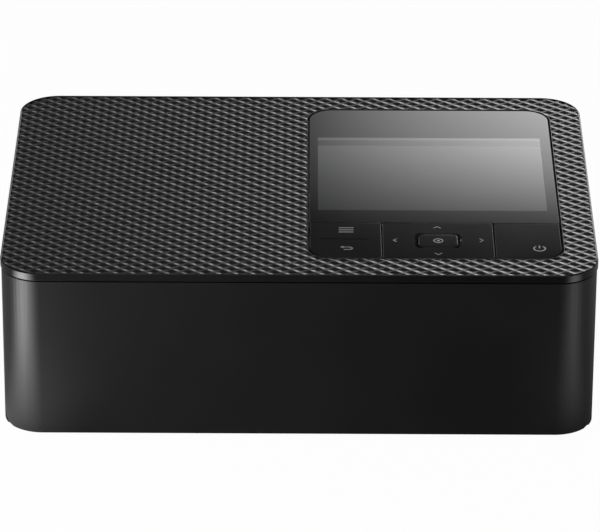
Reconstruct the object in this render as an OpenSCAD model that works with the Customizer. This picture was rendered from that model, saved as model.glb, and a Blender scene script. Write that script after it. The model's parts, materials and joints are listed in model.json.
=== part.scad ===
// Compact dye-sublimation photo printer for postcard-size paper.
// The origin is on the table under the middle of the case. +X is to the right of someone
// facing the front, +Y is to the back and +Z is up. All sizes are in millimetres.

/* [Case] */
// Width over the lid
case_w = 182.2; // [178:0.1:190]
// Depth over the lid
case_d = 133.0; // [131:0.1:140]
// Height from the table to the top of the lid
case_h = 57.6; // [57:0.1:64]
// Plan radius of the lid's corners
corner_r = 12.5; // [10:0.5:16]
// Thickness of the moulded side walls
wall_t = 2.2; // [1.8:0.1:2.6]
// How far the lid stands out past the walls
lid_overhang = 0.3; // [0.1:0.1:0.6]
// Height of the glossy band round the lid
lid_band_h = 2.6; // [2.2:0.1:3.4]
// Shadow gap between the lid and the walls
lid_gap = 0.4; // [0.3:0.05:0.6]
// Thickness of the lid's top
lid_t = 2.0; // [1.6:0.1:2.4]
// Height of the walls' lower edge above the table
skirt_z = 3.0; // [2.4:0.1:3.4]
// Thickness of the bottom cover
bottom_t = 2.0; // [1.6:0.1:2.2]
// Clearance between neighbouring case pieces
case_gap = 0.3; // [0.2:0.05:0.4]
// Radius of a rubber foot
foot_r = 6.0; // [4:0.5:7]
// Radius of the screw posts
post_r = 3.2; // [2.8:0.1:3.4]
// Radius of the case screws
screw_r = 1.0; // [0.8:0.1:1.2]

/* [Front door] */
// Distance of the door's hinge axis behind its outer face
door_axis_in = 4.7; // [4.2:0.1:5.2]
// Height of the door's hinge axis
door_axis_z = 8.0; // [7.8:0.1:9]
// How far the door's side wings reach behind the hinge axis
wing_reach = 4.8; // [4:0.1:4.8]
// Radius of the door's hinge pins
door_pin_r = 1.2; // [0.9:0.1:1.3]
// Running clearance of the small hinge pins
pin_gap = 0.05; // [0.03:0.01:0.08]

/* [Ink door] */
// Width of the door over the ink cassette
ink_door_w = 60.0; // [58:0.5:62]
// Height of the door over the ink cassette
ink_door_h = 40.0; // [36:0.5:41]
// Height of the ink door's lower edge
ink_door_z = 11.0; // [9:0.5:12]
// Radius of the ink door's hinge pins
ink_pin_r = 0.6; // [0.5:0.05:0.7]

/* [Control panel] */
// Width of the control panel
panel_w = 77.3; // [76:0.1:78]
// Depth of the control panel
panel_d = 110.0; // [108:0.5:111]
// Middle of the control panel to the right of the case's middle
panel_x = 41.75; // [41:0.05:42]
// Middle of the control panel behind the case's middle
panel_y = 1.0; // [0:0.5:1.5]
// Radius of the panel's back corners
panel_back_r = 7.5; // [5:0.5:9]
// Radius of the panel's front corners
panel_front_r = 6.5; // [5:0.5:8]
// How far the panel lies below the lid's top
panel_drop = 0.2; // [0.1:0.05:0.3]
// Dark gap round the panel
panel_gap = 0.3; // [0.2:0.05:0.4]
// Depth of the strip of keys in front of the window
key_strip_d = 24.7; // [24:0.1:25.5]
// Depth of the front half of the left key
key_fold_d = 13.1; // [11.5:0.1:13.5]
// Gap between neighbouring keys
key_gap = 0.2; // [0.15:0.05:0.25]
// Width of the left key
left_key_w = 22.2; // [21:0.1:23]
// Width of the right key
right_key_w = 20.4; // [19:0.1:21]
// Thickness of the key caps
key_t = 2.0; // [1.6:0.1:2.2]
// Width of the confirm button's cap
ok_w = 12.25; // [11:0.25:13]
// Depth of the confirm button's cap
ok_d = 9.35; // [8.5:0.05:10]
// Room beside the confirm button's cap
ok_side_gap = 1.25; // [0.5:0.05:1.4]
// Room before and behind the confirm button's cap
ok_end_gap = 0.65; // [0.4:0.05:0.8]
// Corner radius of the confirm button
ok_r = 2.0; // [1:0.25:3]
// Thickness of the display window
window_t = 1.0; // [0.8:0.1:1.2]
// Width of the display's picture
screen_w = 71.1; // [68:0.1:72]
// Depth of the display's picture
screen_d = 53.3; // [50:0.1:56]
// Middle of the display's picture behind the case's middle
screen_y = 7.1; // [5:0.1:9]
// Thickness of the display module
lcd_t = 3.0; // [2.4:0.1:3.2]

/* [Paper path] */
// Width of the paper
paper_w = 100; // [96:1:102]
// Height of the paper path above the table
paper_z = 22.0; // [21.5:0.1:22.4]
// Space left for paper between two rollers
nip = 0.2; // [0.15:0.05:0.3]
// Distance of the feed roller in front of the case's middle
feed_front = 8.0; // [7:0.5:9]
// Radius of the feed roller
feed_r = 4.0; // [3.6:0.1:4.2]
// Radius of the pinch roller
pinch_r = 4.0; // [3.6:0.1:4.2]
// Radius of the platen roller
platen_r = 6.0; // [5.5:0.1:6.3]
// Distance of the platen roller behind the case's middle
platen_y = 26.0; // [25.5:0.1:26.5]
// Radius of the pickup roller's tyres
pickup_r = 8.0; // [7:0.1:8.2]
// Radius of the roller journals
journal_r = 2.5; // [2:0.1:2.8]
// Outer radius of the bushes
bush_r = 4.0; // [3.6:0.1:4.2]
// Running clearance of the shafts in their bushes
shaft_gap = 0.05; // [0.03:0.01:0.08]
// Thickness of the steel side plates
plate_t = 1.2; // [1:0.1:1.6]

/* [Gears] */
// Tooth module of the gear train
gear_module = 0.6; // [0.58:0.005:0.61]
// Face width of the gears
gear_w = 5.0; // [4:0.5:6]
// Extra distance between meshing axes
mesh_extra = 0.06; // [0.04:0.01:0.1]
// Play between meshing teeth
backlash = 0.12; // [0.1:0.01:0.16]
// Radius of the posts that the idler gears turn on
gear_post_r = 1.5; // [1.2:0.1:1.8]
// Radius of the stepper motor's can
motor_r = 12.5; // [11:0.5:13]
// Length of the stepper motor's can
motor_len = 10.4; // [9:0.1:10.4]

/* [Ink cassette] */
// Height of the ribbon spools
spool_z = 35.0; // [34.8:0.05:35.2]
// Distance of the supply spool behind the case's middle
supply_y = 8.0; // [7.6:0.1:8.2]
// Distance of the take-up spool behind the case's middle
takeup_y = 42.0; // [41.8:0.1:42.4]
// Radius of the supply barrel
supply_barrel_r = 11.2; // [10.8:0.1:11.2]
// Radius of the take-up barrel
takeup_barrel_r = 9.5; // [9:0.1:9.6]
// Wall of the ink cassette's barrels
barrel_t = 0.8; // [0.6:0.1:1]
// Radius of the full roll of ribbon
supply_roll_r = 9.3; // [8:0.1:9.6]
// Radius of the roll of used ribbon
takeup_roll_r = 6.5; // [6:0.1:8]
// Radius of the spool cores
core_r = 5.0; // [4.6:0.1:5.4]
// Thickness of the ribbon web as drawn
ribbon_t = 0.12; // [0.1:0.01:0.15]

/* [Thermal head] */
// Distance of the head arm's pivot behind the case's middle
head_pivot_y = 57.0; // [56.5:0.1:57.5]
// Height of the head arm's pivot
head_pivot_z = 46.2; // [46:0.05:46.4]
// Height that the head is lifted above the paper at rest
head_lift = 2.3; // [2.2:0.05:2.5]
// Distance of the lowering cam behind the case's middle
cam_y = 24.0; // [23.5:0.1:24.5]

/* [Hidden] */
$fn = 64;
little = 0.01;

// Case envelope.
body_w = case_w - 2 * lid_overhang;
body_d = case_d - 2 * lid_overhang;
body_r = corner_r - lid_overhang;
inner_w = body_w - 2 * wall_t;
inner_d = body_d - 2 * wall_t;
inner_r = body_r - wall_t;
front_y = -body_d / 2;
right_x = body_w / 2;
lid_base_z = case_h - lid_band_h;
lid_under_z = case_h - lid_t;
wall_top_z = lid_base_z - lid_gap;
bottom_z = skirt_z - 0.8;
bottom_top_z = bottom_z + bottom_t;
skirt_t = 1.2;
lid_skirt_z = lid_base_z - 4;
post_top_z = lid_skirt_z - 1;
post_front_x = inner_w / 2 - post_r - 0.4;
post_front_y = front_y + 17.7;
post_back_x = inner_w / 2 - post_r - 1.8;
post_back_y = inner_d / 2 - post_r - 3.8;
post_places = [
    [post_front_x, post_front_y],
    [-post_front_x, post_front_y],
    [post_back_x, post_back_y],
    [-post_back_x, post_back_y],
];
foot_x = inner_w / 2 - 14.6;
foot_front_y = front_y + 20.2;
foot_back_y = inner_d / 2 - 12;
foot_seat = 0.8;
screw_head_r = 2.2;
screw_head_t = 1.2;
screw_len = 9;

// Front door and the bezel behind it.
door_axis_y = front_y + door_axis_in;
door_axis = [door_axis_y, door_axis_z];
seam_y = door_axis_y + wing_reach;
bezel_t = 2.0;
bezel_y = front_y + 12.2;
ear_t = 2.0;
ear_r = door_pin_r + 1.1;
ear_x = inner_w / 2 - 12;
door_ear_t = 1.4;
door_ear_x = ear_x + ear_t + 0.6;
ear_root = 1.2;
rib_t = 1.2;
door_ribs = [-60, -20, 20, 60];
door_rib_end = 6;
latch_w = 14;
latch_t = 1.4;
latch_z = wall_top_z - 7;

// Ink door in the right wall.
ink_door_y = (supply_y - supply_barrel_r + takeup_y + takeup_barrel_r) / 2 - 1.15;
ink_axis_x = right_x - wall_t / 2;
ink_axis_z = ink_door_z + wall_t / 2;
ink_pin_reach = 2.5;
ink_door_r = 2.5;
aperture_depth = 3;
ink_rib_y = 20;
ink_rib_low = 6;
ink_rib_high = 4;

// Control panel: window, keys, frame and the boards under them.
panel_top_z = case_h - panel_drop;
panel_left = panel_x - panel_w / 2;
panel_right = panel_x + panel_w / 2;
panel_front = panel_y - panel_d / 2;
panel_back = panel_y + panel_d / 2;
window_front = panel_front + key_strip_d + key_gap;
window_z = panel_top_z - window_t;
key_z = panel_top_z - key_t;
key_mid_y = panel_front + key_strip_d / 2;
pad_left = panel_left + left_key_w + key_gap;
pad_right = panel_right - right_key_w - key_gap;
pad_mid_x = (pad_left + pad_right) / 2;
frame_flange = 1.0;
frame_depth = 3.6;
frame_z = lid_under_z - frame_depth;
frame_floor_t = 1.2;
frame_seat_z = window_z;
ledge_w = 2.0;
lcd_z = window_z - 0.3 - lcd_t;
lcd_border_x = 2.4;
lcd_border_y = 6.0;
key_board_t = 1.2;
dome_h = 0.5;
dome_r = 1.6;
stem_r = 1.2;
stem_gap = 0.35;
stem_window_r = 2.0;
stem_bottom_z = frame_z + dome_h + stem_gap;
bezel_top_z = frame_z - key_board_t - case_gap;
fulcrum_gap = 0.15;
rocker_rib_w = 1.0;
gimbal_t = 0.7;
gimbal_half = [10, 8];
gimbal_bore = [6, 5];
gimbal_rib_y = 6.5;
pad_rib_x = 8.6;
rib_reach = 0.9;
rail_x = 8;
rail_reach = 8;
rail_t = 1.2;
gimbal_z = frame_z + frame_floor_t + 0.9;
left_key_x = panel_left + left_key_w / 2;
right_key_x = panel_right - right_key_w / 2;
left_dome_reach = 6.5;
pad_dome_x = 13.2;
pad_dome_y = 9.3;
divider_y = panel_front + key_fold_d;
rock_room = 0.7;
slide_room = 0.45;
pocket_ledge = 0.8;
lcd_w = screen_w + 2 * lcd_border_x;
lcd_d = screen_d + 2 * lcd_border_y;
dome_places = [
    [left_key_x, divider_y - left_dome_reach],
    [left_key_x, divider_y + left_dome_reach],
    [pad_mid_x - pad_dome_x, key_mid_y],
    [pad_mid_x + pad_dome_x, key_mid_y],
    [pad_mid_x, key_mid_y - pad_dome_y],
    [pad_mid_x, key_mid_y + pad_dome_y],
    [pad_mid_x, key_mid_y],
    [right_key_x, key_mid_y],
];

// Paper path and its rollers.
feed_y = -feed_front;
feed_z = paper_z - feed_r;
pinch_z = paper_z + nip + pinch_r;
platen_z = paper_z - platen_r;
pickup_z = 36.0;
roller_len = paper_w + 6;
plate_left_x = -paper_w / 2 - 14;
plate_right_x = paper_w / 2 + 10;
base_z = 5.0;
stand_x = 40;
stand_w = 12;
stand_d = 6;
base_t = 1.2;
plate_z = base_z + base_t;
plate_top_z = 48.0;
board_z = 45.8;
board_t = 1.4;
board_back_y = -6.0;
bay_front_y = bezel_y + bezel_t + case_gap;
plate_front_y = bay_front_y + 1.7;
plate_back_y = inner_d / 2 - 2;
board_front_y = plate_front_y + 5;
bay_back_y = -14.3;
stand_rows = [bay_front_y + 6, bay_back_y - 6, bay_back_y + 12, plate_back_y - 6];
bay_w = 112;
bay_h = 21.8;
bay_t = 1.2;
bay_wall_t = 2.0;
pinch_journal_r = 1.5;
block_w = 6.0;
block_h = 7.0;
block_z = pinch_z - 3.2;
spring_len = 5.6;
spring_r = 1.9;
wire_r = 0.3;
spring_turns = 5;
guide_z = paper_z - 0.8;
guide_t = 1.2;
guide_w = paper_w + 8;
tyre_w = 12;
tyre_x = 20;
shaft_left = plate_left_x - 0.6;
shaft_right = plate_right_x + plate_t + 0.8;

// Lift plate in the floor of the cassette bay.
lift_w = 30;
lift_len = 22;
lift_axis_y = bay_back_y - 4;
lift_axis_z = base_z + base_t / 2;
lift_pin_r = 0.4;
lift_t = 1.0;

// Gear train on the outer face of the left plate, drawn in the Y-Z plane.
teeth_motor = 16;
teeth_big = 36;
teeth_feed = 30;
teeth_takeup = 30;
teeth_idler = 30;
teeth_relay = 26;
teeth_pickup = 20;
pressure_angle = 20;
gear_gap_x = 1.5;
gear_x = plate_left_x - gear_gap_x - gear_w;
feed_axis = [feed_y, feed_z];
takeup_axis = [takeup_y, spool_z];
supply_axis = [supply_y, spool_z];
big_axis = feed_axis + mesh_reach(teeth_feed, teeth_big) * [cos(16.34), sin(16.34)];
idler_axis = mesh_point(big_axis, takeup_axis, mesh_reach(teeth_big, teeth_idler),
                        mesh_reach(teeth_idler, teeth_takeup), -1);
motor_axis = big_axis + mesh_reach(teeth_motor, teeth_big) * [cos(75), sin(75)];
pickup_axis = [feed_y - 24, pickup_z];
relay_axis = mesh_point(feed_axis, pickup_axis, mesh_reach(teeth_feed, teeth_relay),
                        mesh_reach(teeth_relay, teeth_pickup), 1);
feed_phase = 0;
big_phase = next_phase(feed_axis, big_axis, teeth_feed, teeth_big, feed_phase);
motor_phase = next_phase(big_axis, motor_axis, teeth_big, teeth_motor, big_phase);
idler_phase = next_phase(big_axis, idler_axis, teeth_big, teeth_idler, big_phase);
takeup_phase = next_phase(idler_axis, takeup_axis, teeth_idler, teeth_takeup, idler_phase);
relay_phase = next_phase(feed_axis, relay_axis, teeth_feed, teeth_relay, feed_phase);
pickup_phase = next_phase(relay_axis, pickup_axis, teeth_relay, teeth_pickup, relay_phase);
bracket_x = gear_x - 4.8 - plate_t;
bracket_posts = [[-2, 39], [31, 43], [22, 11.5]];
standoff_r = 2.0;
motor_boss_r = 4.0;
motor_shaft_r = 1.0;

// Ink cassette: two barrels side by side, with end plates.
cassette_left_x = -paper_w / 2 - 8;
cassette_right_x = paper_w / 2 + 22;
end_t = 1.5;
spool_journal_r = 4.0;
spool_gap = 0.08;
hub_gap = 0.1;
hub_reach = 7;
roll_half = paper_w / 2 + 2;
grip_len = 9;
grip_w = 22;
grip_t = 2;
grip_low_z = spool_z - 4;
grip_high_z = spool_z + 6;
web_z = paper_z + 0.15;

// Lever that holds the ink cassette.
lever_y = 25.0;
lever_w = 12.0;
lever_x = plate_right_x + 12;
lever_z = spool_z + supply_barrel_r + 3.5;
lever_pin_r = 0.8;
lever_t = 1.4;

// Thermal head on its arm.
arm_t = 1.2;
arm_z = head_pivot_z - arm_t / 2;
arm_front_y = supply_y + supply_barrel_r + 0.8;
head_t = 1.2;
head_half = paper_w / 2 + 4;
head_bottom_z = paper_z + head_lift;
head_drop_deg = 3.5;
head_mid_y = platen_y - (head_pivot_z - head_bottom_z) * sin(head_drop_deg);
sink_w = 9.0;
sink_fins = 17;
fin_gap = 3;
sink_edge = 4;
heat_line_w = 1.2;
heat_line_h = 0.3;
arm_pin_r = 2.0;
cam_pin_r = 1.25;
cam_gap = 0.15;
cam_small_r = 2.2;
cam_throw = (head_pivot_y - cam_y) * sin(head_drop_deg);
cam_turn = 90;
cam_z = head_pivot_z + cam_pin_r + cam_gap + cam_small_r;

// Sockets.
card_w = 24.0;
card_slot_h = 2.6;
card_in = 14.0;
card_y = board_front_y + card_in;
card_socket_h = 3.2;
card_socket_d = 27;
usb_step = 19.0;
usb_y = card_y + usb_step;
usb_w = 9.0;
usb_h = 3.3;
usb_d = 7.5;
usb_tongue_w = 6.6;
board_tail = 8.7;
usb_tongue_t = 0.7;
socket_wall = 0.4;
jack_x = plate_left_x - 7.4;
jack_w = 9.0;
jack_h = 11.0;
jack_z = 8.0;
jack_hole_r = 2.9;
jack_pin_r = 0.8;
jack_d = 10;
jack_board_over = 6;
jack_board_front = 5;
jack_board_back = 3;
slot_h = 6.0;
slot_z = paper_z - 1.8;
vent_count = 10;
vent_x = 24;
vent_pitch = 5;
vent_w = 2;
vent_z = 35;
vent_h = 10;

COL_CASE = [0.10, 0.10, 0.10];
COL_LID = [0.07, 0.07, 0.07];
COL_KEY = [0.14, 0.14, 0.14];
COL_GLASS = [0.30, 0.31, 0.33];
COL_RUBBER = [0.05, 0.05, 0.05];
COL_STEEL = [0.62, 0.63, 0.65];
COL_GEAR = [0.88, 0.87, 0.82];
COL_BOARD = [0.07, 0.30, 0.16];
COL_INNER = [0.22, 0.22, 0.23];
COL_CASSETTE = [0.80, 0.80, 0.78];
COL_RIBBON = [0.85, 0.70, 0.10];
COL_ALU = [0.76, 0.77, 0.79];
COL_BRONZE = [0.62, 0.48, 0.24];

// Distance between the axes of two meshing gears.
function mesh_reach(teeth_a, teeth_b) = gear_module * (teeth_a + teeth_b) / 2 + mesh_extra;

// Point at reach_a from a and at reach_b from b, on one side of the line between them.
function mesh_point(a, b, reach_a, reach_b, side) =
    let (span = norm(b - a), along = (reach_a ^ 2 - reach_b ^ 2 + span ^ 2) / (2 * span))
    let (off = sqrt(reach_a ^ 2 - along ^ 2), unit = (b - a) / span)
    a + along * unit + side * off * [-unit[1], unit[0]];

// Turn that puts a tooth gap of gear b round the tooth of gear a on the line between them.
function next_phase(a, b, teeth_a, teeth_b, phase_a) =
    let (line = atan2(b[1] - a[1], b[0] - a[0]), pitches = (line - phase_a) * teeth_a / 360)
    line + 180 + (pitches + 0.5) * 360 / teeth_b;

function involute(angle) = tan(angle) * 180 / PI - angle;

// Half the angle that a tooth takes up at radius r.
function half_tooth(teeth, r) =
    let (pitch_r = gear_module * teeth / 2, base_r = pitch_r * cos(pressure_angle))
    90 / teeth - backlash / 4 / pitch_r * 180 / PI + involute(pressure_angle)
    - involute(acos(min(1, base_r / max(r, base_r))));

module gear_outline(teeth) {
    pitch_r = gear_module * teeth / 2;
    root_r = pitch_r - 1.25 * gear_module;
    tip_r = pitch_r + 0.9 * gear_module;
    flank = [root_r, pitch_r * cos(pressure_angle) + 0.05, pitch_r, tip_r];
    polygon([
        for (i = [0:teeth - 1], side = [-1, 1], k = [0:3])
            let (r = flank[side < 0 ? k : 3 - k], turn = 360 * i / teeth + side * half_tooth(teeth, r))
            r * [cos(turn), sin(turn)]
    ]);
}

// A flat shape in Y and Z, drawn out along X.
module along_x(x, length) {
    translate([x, 0, 0])
        rotate([90, 0, 90])
            linear_extrude(length)
                children();
}

module rod_x(x, length, axis, r) {
    translate([x, axis[0], axis[1]])
        rotate([0, 90, 0])
            cylinder(h = length, r = r);
}

module box(low, high) {
    translate(low)
        cube(high - low);
}

module round_rect(w, d, r) {
    square([w - 2 * r, d], center = true);
    square([w, d - 2 * r], center = true);
    for (x = [-1, 1], y = [-1, 1])
        translate([x * (w / 2 - r), y * (d / 2 - r)])
            circle(r);
}

module slab(w, d, r, z, h) {
    translate([0, 0, z])
        linear_extrude(h)
            round_rect(w, d, r);
}

// The panel's outline grown by margin, with its own front and back corner radii.
module panel_outline(margin) {
    left = panel_left - margin;
    right = panel_right + margin;
    front = panel_front - margin;
    back = panel_back + margin;
    for (corner = [[left, right, front, panel_front_r + margin, 1],
                   [left, right, back, panel_back_r + margin, -1]]) {
        r = corner[3];
        y = corner[2];
        for (x = [corner[0] + r, corner[1] - r])
            translate([x, y + corner[4] * r])
                circle(r);
        translate([corner[0] + r, min(y, y + corner[4] * r)])
            square([corner[1] - corner[0] - 2 * r, r]);
    }
    translate([left, front + panel_front_r + margin])
        square([right - left, back - front - panel_front_r - panel_back_r - 2 * margin]);
}

module panel_slab(margin, z, h) {
    translate([0, 0, z])
        linear_extrude(h)
            panel_outline(margin);
}

module gear_disc(axis, teeth, phase, bore) {
    translate([gear_x, axis[0], axis[1]])
        rotate([90, 0, 90])
            linear_extrude(gear_w)
                difference() {
                    rotate(phase) gear_outline(teeth);
                    circle(bore);
                }
}

// Walls of the case as one closed ring.
module wall_ring() {
    difference() {
        slab(body_w, body_d, body_r, skirt_z, wall_top_z - skirt_z);
        slab(inner_w, inner_d, inner_r, skirt_z - 1, wall_top_z);
    }
}

// Everything in front of the door's seam, grown by gap. Under the axis the seam is an arc, with
// twice the gap, because the door's lower edge swings past it in the round corners.
module door_region(gap) {
    along_x(-case_w, 2 * case_w) {
        translate([-case_d, -1])
            square([case_d + door_axis_y, case_h]);
        translate([-case_d, door_axis_z])
            square([case_d + seam_y + gap, case_h]);
        translate([door_axis_y, door_axis_z])
            circle(wing_reach + 2 * gap);
    }
}

module bottom_cover() {
    color(COL_INNER)
        difference() {
            union() {
                intersection() {
                    slab(inner_w - 2 * case_gap, inner_d - 2 * case_gap, inner_r - case_gap,
                         bottom_z, bottom_t);
                    box([-case_w, bezel_y - 0.6, 0], [case_w, case_d, case_h]);
                }
                for (x = [-stand_x, stand_x], y = stand_rows)
                    box([x - stand_w / 2, y - stand_d / 2, bottom_top_z - little],
                        [x + stand_w / 2, y + stand_d / 2, base_z]);
            }
            for (place = post_places) {
                translate([place[0], place[1], bottom_z - 1])
                    cylinder(h = bottom_t + 2, r = screw_r);
                translate([place[0], place[1], bottom_z - 1])
                    cylinder(h = 1 + screw_head_t, r = screw_head_r);
            }
            for (x = [-foot_x, foot_x], y = [foot_front_y, foot_back_y])
                translate([x, y, bottom_z - 1])
                    cylinder(h = 1 + foot_seat, r = foot_r);
        }
}

module rubber_feet() {
    color(COL_RUBBER)
        for (x = [-foot_x, foot_x], y = [foot_front_y, foot_back_y])
            translate([x, y, 0])
                cylinder(h = bottom_z + foot_seat, r = foot_r);
}

module case_screws() {
    color(COL_STEEL)
        for (place = post_places)
            translate([place[0], place[1], bottom_z + 0.2]) {
                cylinder(h = screw_head_t - 0.2, r = screw_head_r);
                cylinder(h = screw_len, r = screw_r);
            }
}

module screw_posts(z, top) {
    for (place = post_places)
        translate([place[0], place[1], z])
            cylinder(h = top - z, r = post_r);
}

module body_shell() {
    color(COL_CASE)
        difference() {
            union() {
                difference() {
                    wall_ring();
                    door_region(case_gap);
                }
                screw_posts(bottom_top_z, post_top_z);
                for (place = post_places)
                    box([place[0] > 0 ? place[0] : -inner_w / 2 - little, place[1] - 1, bottom_top_z],
                        [place[0] > 0 ? inner_w / 2 + little : place[0], place[1] + 1, post_top_z]);
                for (y = [ink_door_y - ink_door_w / 2 - case_gap, ink_door_y + ink_door_w / 2 + case_gap])
                    ink_pin_boss(y, y < ink_door_y ? -1 : 1);
            }
            for (place = post_places)
                translate([place[0], place[1], bottom_top_z - 1])
                    cylinder(h = 1 + screw_len, r = screw_r);
            ink_aperture();
            ink_pin_holes();
            box([-right_x - 1, card_y - card_w / 2 - 0.5, board_z + board_t + 0.3],
                [-right_x + wall_t + 1, card_y + card_w / 2 + 0.5, board_z + board_t + 0.3 + card_slot_h]);
            box([-right_x - 1, usb_y - usb_w / 2 - 0.1, board_z + board_t - 0.1],
                [-right_x + wall_t + 1, usb_y + usb_w / 2 + 0.1, board_z + board_t + usb_h + 0.1]);
            box([-guide_w / 2, inner_d / 2 - 1, slot_z], [guide_w / 2, case_d, slot_z + slot_h]);
            box([jack_x - jack_w / 2 - 0.1, inner_d / 2 - 1, jack_z - 0.1],
                [jack_x + jack_w / 2 + 0.1, case_d, jack_z + jack_h + 0.1]);
            for (i = [0:vent_count - 1])
                box([vent_x + vent_pitch * i, inner_d / 2 - 1, vent_z],
                    [vent_x + vent_pitch * i + vent_w, case_d, vent_z + vent_h]);
        }
}

module ink_pin_boss(y, side) {
    translate([ink_axis_x - wall_t / 2, y + side * ink_pin_reach / 2, ink_axis_z])
        cube([wall_t, ink_pin_reach, wall_t], center = true);
}

module ink_pin_holes() {
    for (side = [-1, 1])
        translate([ink_axis_x, ink_door_y + side * (ink_door_w / 2 + case_gap + ink_pin_reach / 2),
                   ink_axis_z])
            rotate([90, 0, 0])
                cylinder(h = ink_pin_reach + 0.6, r = ink_pin_r + pin_gap, center = true);
}

module ink_aperture() {
    translate([right_x + 1, ink_door_y, ink_door_z + ink_door_h / 2])
        rotate([0, -90, 0])
            linear_extrude(wall_t + 1 + aperture_depth) {
                    round_rect(ink_door_h + 2 * case_gap, ink_door_w + 2 * case_gap, ink_door_r);
                    translate([-ink_door_h / 2 - case_gap, -ink_door_w / 2 - case_gap])
                        square([ink_door_h / 2, ink_door_w + 2 * case_gap]);
                }
}

module front_bezel() {
    low_x = inner_w / 2 - case_gap;
    high_x = inner_w / 2 - case_gap - skirt_t - 0.3;
    color(COL_INNER) {
        difference() {
            union() {
                box([-low_x, bezel_y, bottom_top_z], [low_x, bezel_y + bezel_t, bezel_top_z]);
                box([-high_x, bezel_y, bottom_top_z],
                    [panel_left - frame_flange - case_gap, bezel_y + bezel_t, lid_under_z]);
                box([panel_right + frame_flange + case_gap, bezel_y, bottom_top_z],
                    [high_x, bezel_y + bezel_t, lid_under_z]);
            }
            box([-bay_w / 2, bezel_y - 1, plate_z], [bay_w / 2, bezel_y + bezel_t + 1, plate_z + bay_h]);
            box([-latch_w / 2 - 1, bezel_y - 1, latch_z - 0.6],
                [latch_w / 2 + 1, bezel_y + bezel_t + 1, latch_z + latch_t + 0.6]);
        }
        for (side = [-1, 1])
            difference() {
                along_x(side * (ear_x + ear_t / 2) - ear_t / 2, ear_t) {
                    translate([door_axis_y, door_axis_z])
                        circle(ear_r);
                    translate([door_axis_y, door_axis_z - ear_r])
                        square([bezel_y - door_axis_y + little, 2 * ear_r]);
                }
                rod_x(side * (ear_x + ear_t / 2) - ear_t, 2 * ear_t, door_axis, door_pin_r + pin_gap);
            }
    }
}

module front_door() {
    color(COL_CASE)
        difference() {
            union() {
                intersection() {
                    wall_ring();
                    door_region(0);
                }
                for (side = [-1, 1])
                    along_x(side * (door_ear_x + door_ear_t / 2) - door_ear_t / 2, door_ear_t) {
                        translate([door_axis_y, door_axis_z])
                            circle(ear_r);
                        translate([front_y + wall_t - ear_root, door_axis_z - ear_r])
                            square([door_axis_in - wall_t + ear_root, 2 * ear_r]);
                    }
                for (x = door_ribs)
                    box([x - rib_t / 2, front_y + wall_t - little, skirt_z + 2],
                        [x + rib_t / 2, front_y + wall_t + rib_t, wall_top_z - door_rib_end]);
                box([-latch_w / 2, front_y + wall_t - little, latch_z],
                    [latch_w / 2, bezel_y + 0.8, latch_z + latch_t]);
            }
            for (side = [-1, 1])
                rod_x(side * (door_ear_x + door_ear_t / 2) - door_ear_t, 2 * door_ear_t,
                      door_axis, door_pin_r);
        }
}

module front_door_pins() {
    pin_in = ear_x - 0.5;
    pin_len = door_ear_x + door_ear_t - pin_in;
    color(COL_STEEL)
        for (side = [-1, 1])
            rod_x(side > 0 ? pin_in : -pin_in - pin_len, pin_len, door_axis, door_pin_r);
}

module ink_door() {
    color(COL_CASE)
        difference() {
            union() {
                translate([ink_axis_x - wall_t / 2, ink_door_y, 0])
                    rotate([90, 0, 90])
                        linear_extrude(wall_t)
                            ink_door_outline();
                translate([ink_axis_x, ink_door_y, ink_axis_z])
                    rotate([90, 0, 0])
                        cylinder(h = ink_door_w, r = wall_t / 2, center = true);
                for (y = [ink_door_y - ink_rib_y, ink_door_y + ink_rib_y - rib_t])
                    box([ink_axis_x - wall_t / 2 - rib_t, y, ink_axis_z + ink_rib_low],
                        [ink_axis_x - wall_t / 2 + little, y + rib_t,
                         ink_door_z + ink_door_h - ink_rib_high]);
            }
            translate([ink_axis_x, ink_door_y, ink_axis_z])
                rotate([90, 0, 0])
                    cylinder(h = 2 * ink_door_w, r = ink_pin_r, center = true);
        }
}

// The ink door's face above its rolled lower edge, with round upper corners.
module ink_door_outline() {
    top = ink_door_z + ink_door_h;
    translate([-ink_door_w / 2, ink_axis_z])
        square([ink_door_w, top - ink_door_r - ink_axis_z]);
    translate([-ink_door_w / 2 + ink_door_r, ink_axis_z])
        square([ink_door_w - 2 * ink_door_r, top - ink_axis_z]);
    for (side = [-1, 1])
        translate([side * (ink_door_w / 2 - ink_door_r), top - ink_door_r])
            circle(ink_door_r);
}

module ink_door_pins() {
    color(COL_STEEL)
        translate([ink_axis_x, ink_door_y, ink_axis_z])
            rotate([90, 0, 0])
                cylinder(h = ink_door_w + 2 * ink_pin_reach, r = ink_pin_r, center = true);
}

// A chute between the ink door and the right side plate that the cassette slides in through.
module ink_bay_guide() {
    front = supply_y - supply_barrel_r - 0.9;
    back = takeup_y + takeup_barrel_r + 0.9;
    low = spool_z - supply_barrel_r - 3.6;
    high = spool_z + supply_barrel_r + 1.0;
    inner_x = plate_right_x + plate_t;
    outer_x = inner_w / 2 - 1.6;
    t = 1.2;
    color(COL_INNER) {
        box([inner_x, front - t, base_z + base_t], [outer_x, front, high + t]);
        box([inner_x, back, base_z + base_t], [outer_x, back + t, high + t]);
        box([inner_x, front - t, low - t], [outer_x, back + t, low]);
        box([inner_x, front - t, high], [outer_x, back + t, high + t]);
        for (y = [lever_y - lever_w / 2 - 1.8, lever_y + lever_w / 2 + 0.3])
            difference() {
                box([lever_x - 2.4, y, high + t - little], [lever_x + 2.4, y + 1.5, high + t + 2.6]);
                translate([lever_x, y - 1, lever_z])
                    rotate([-90, 0, 0])
                        cylinder(h = 4, r = lever_pin_r + pin_gap);
            }
    }
}

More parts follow.
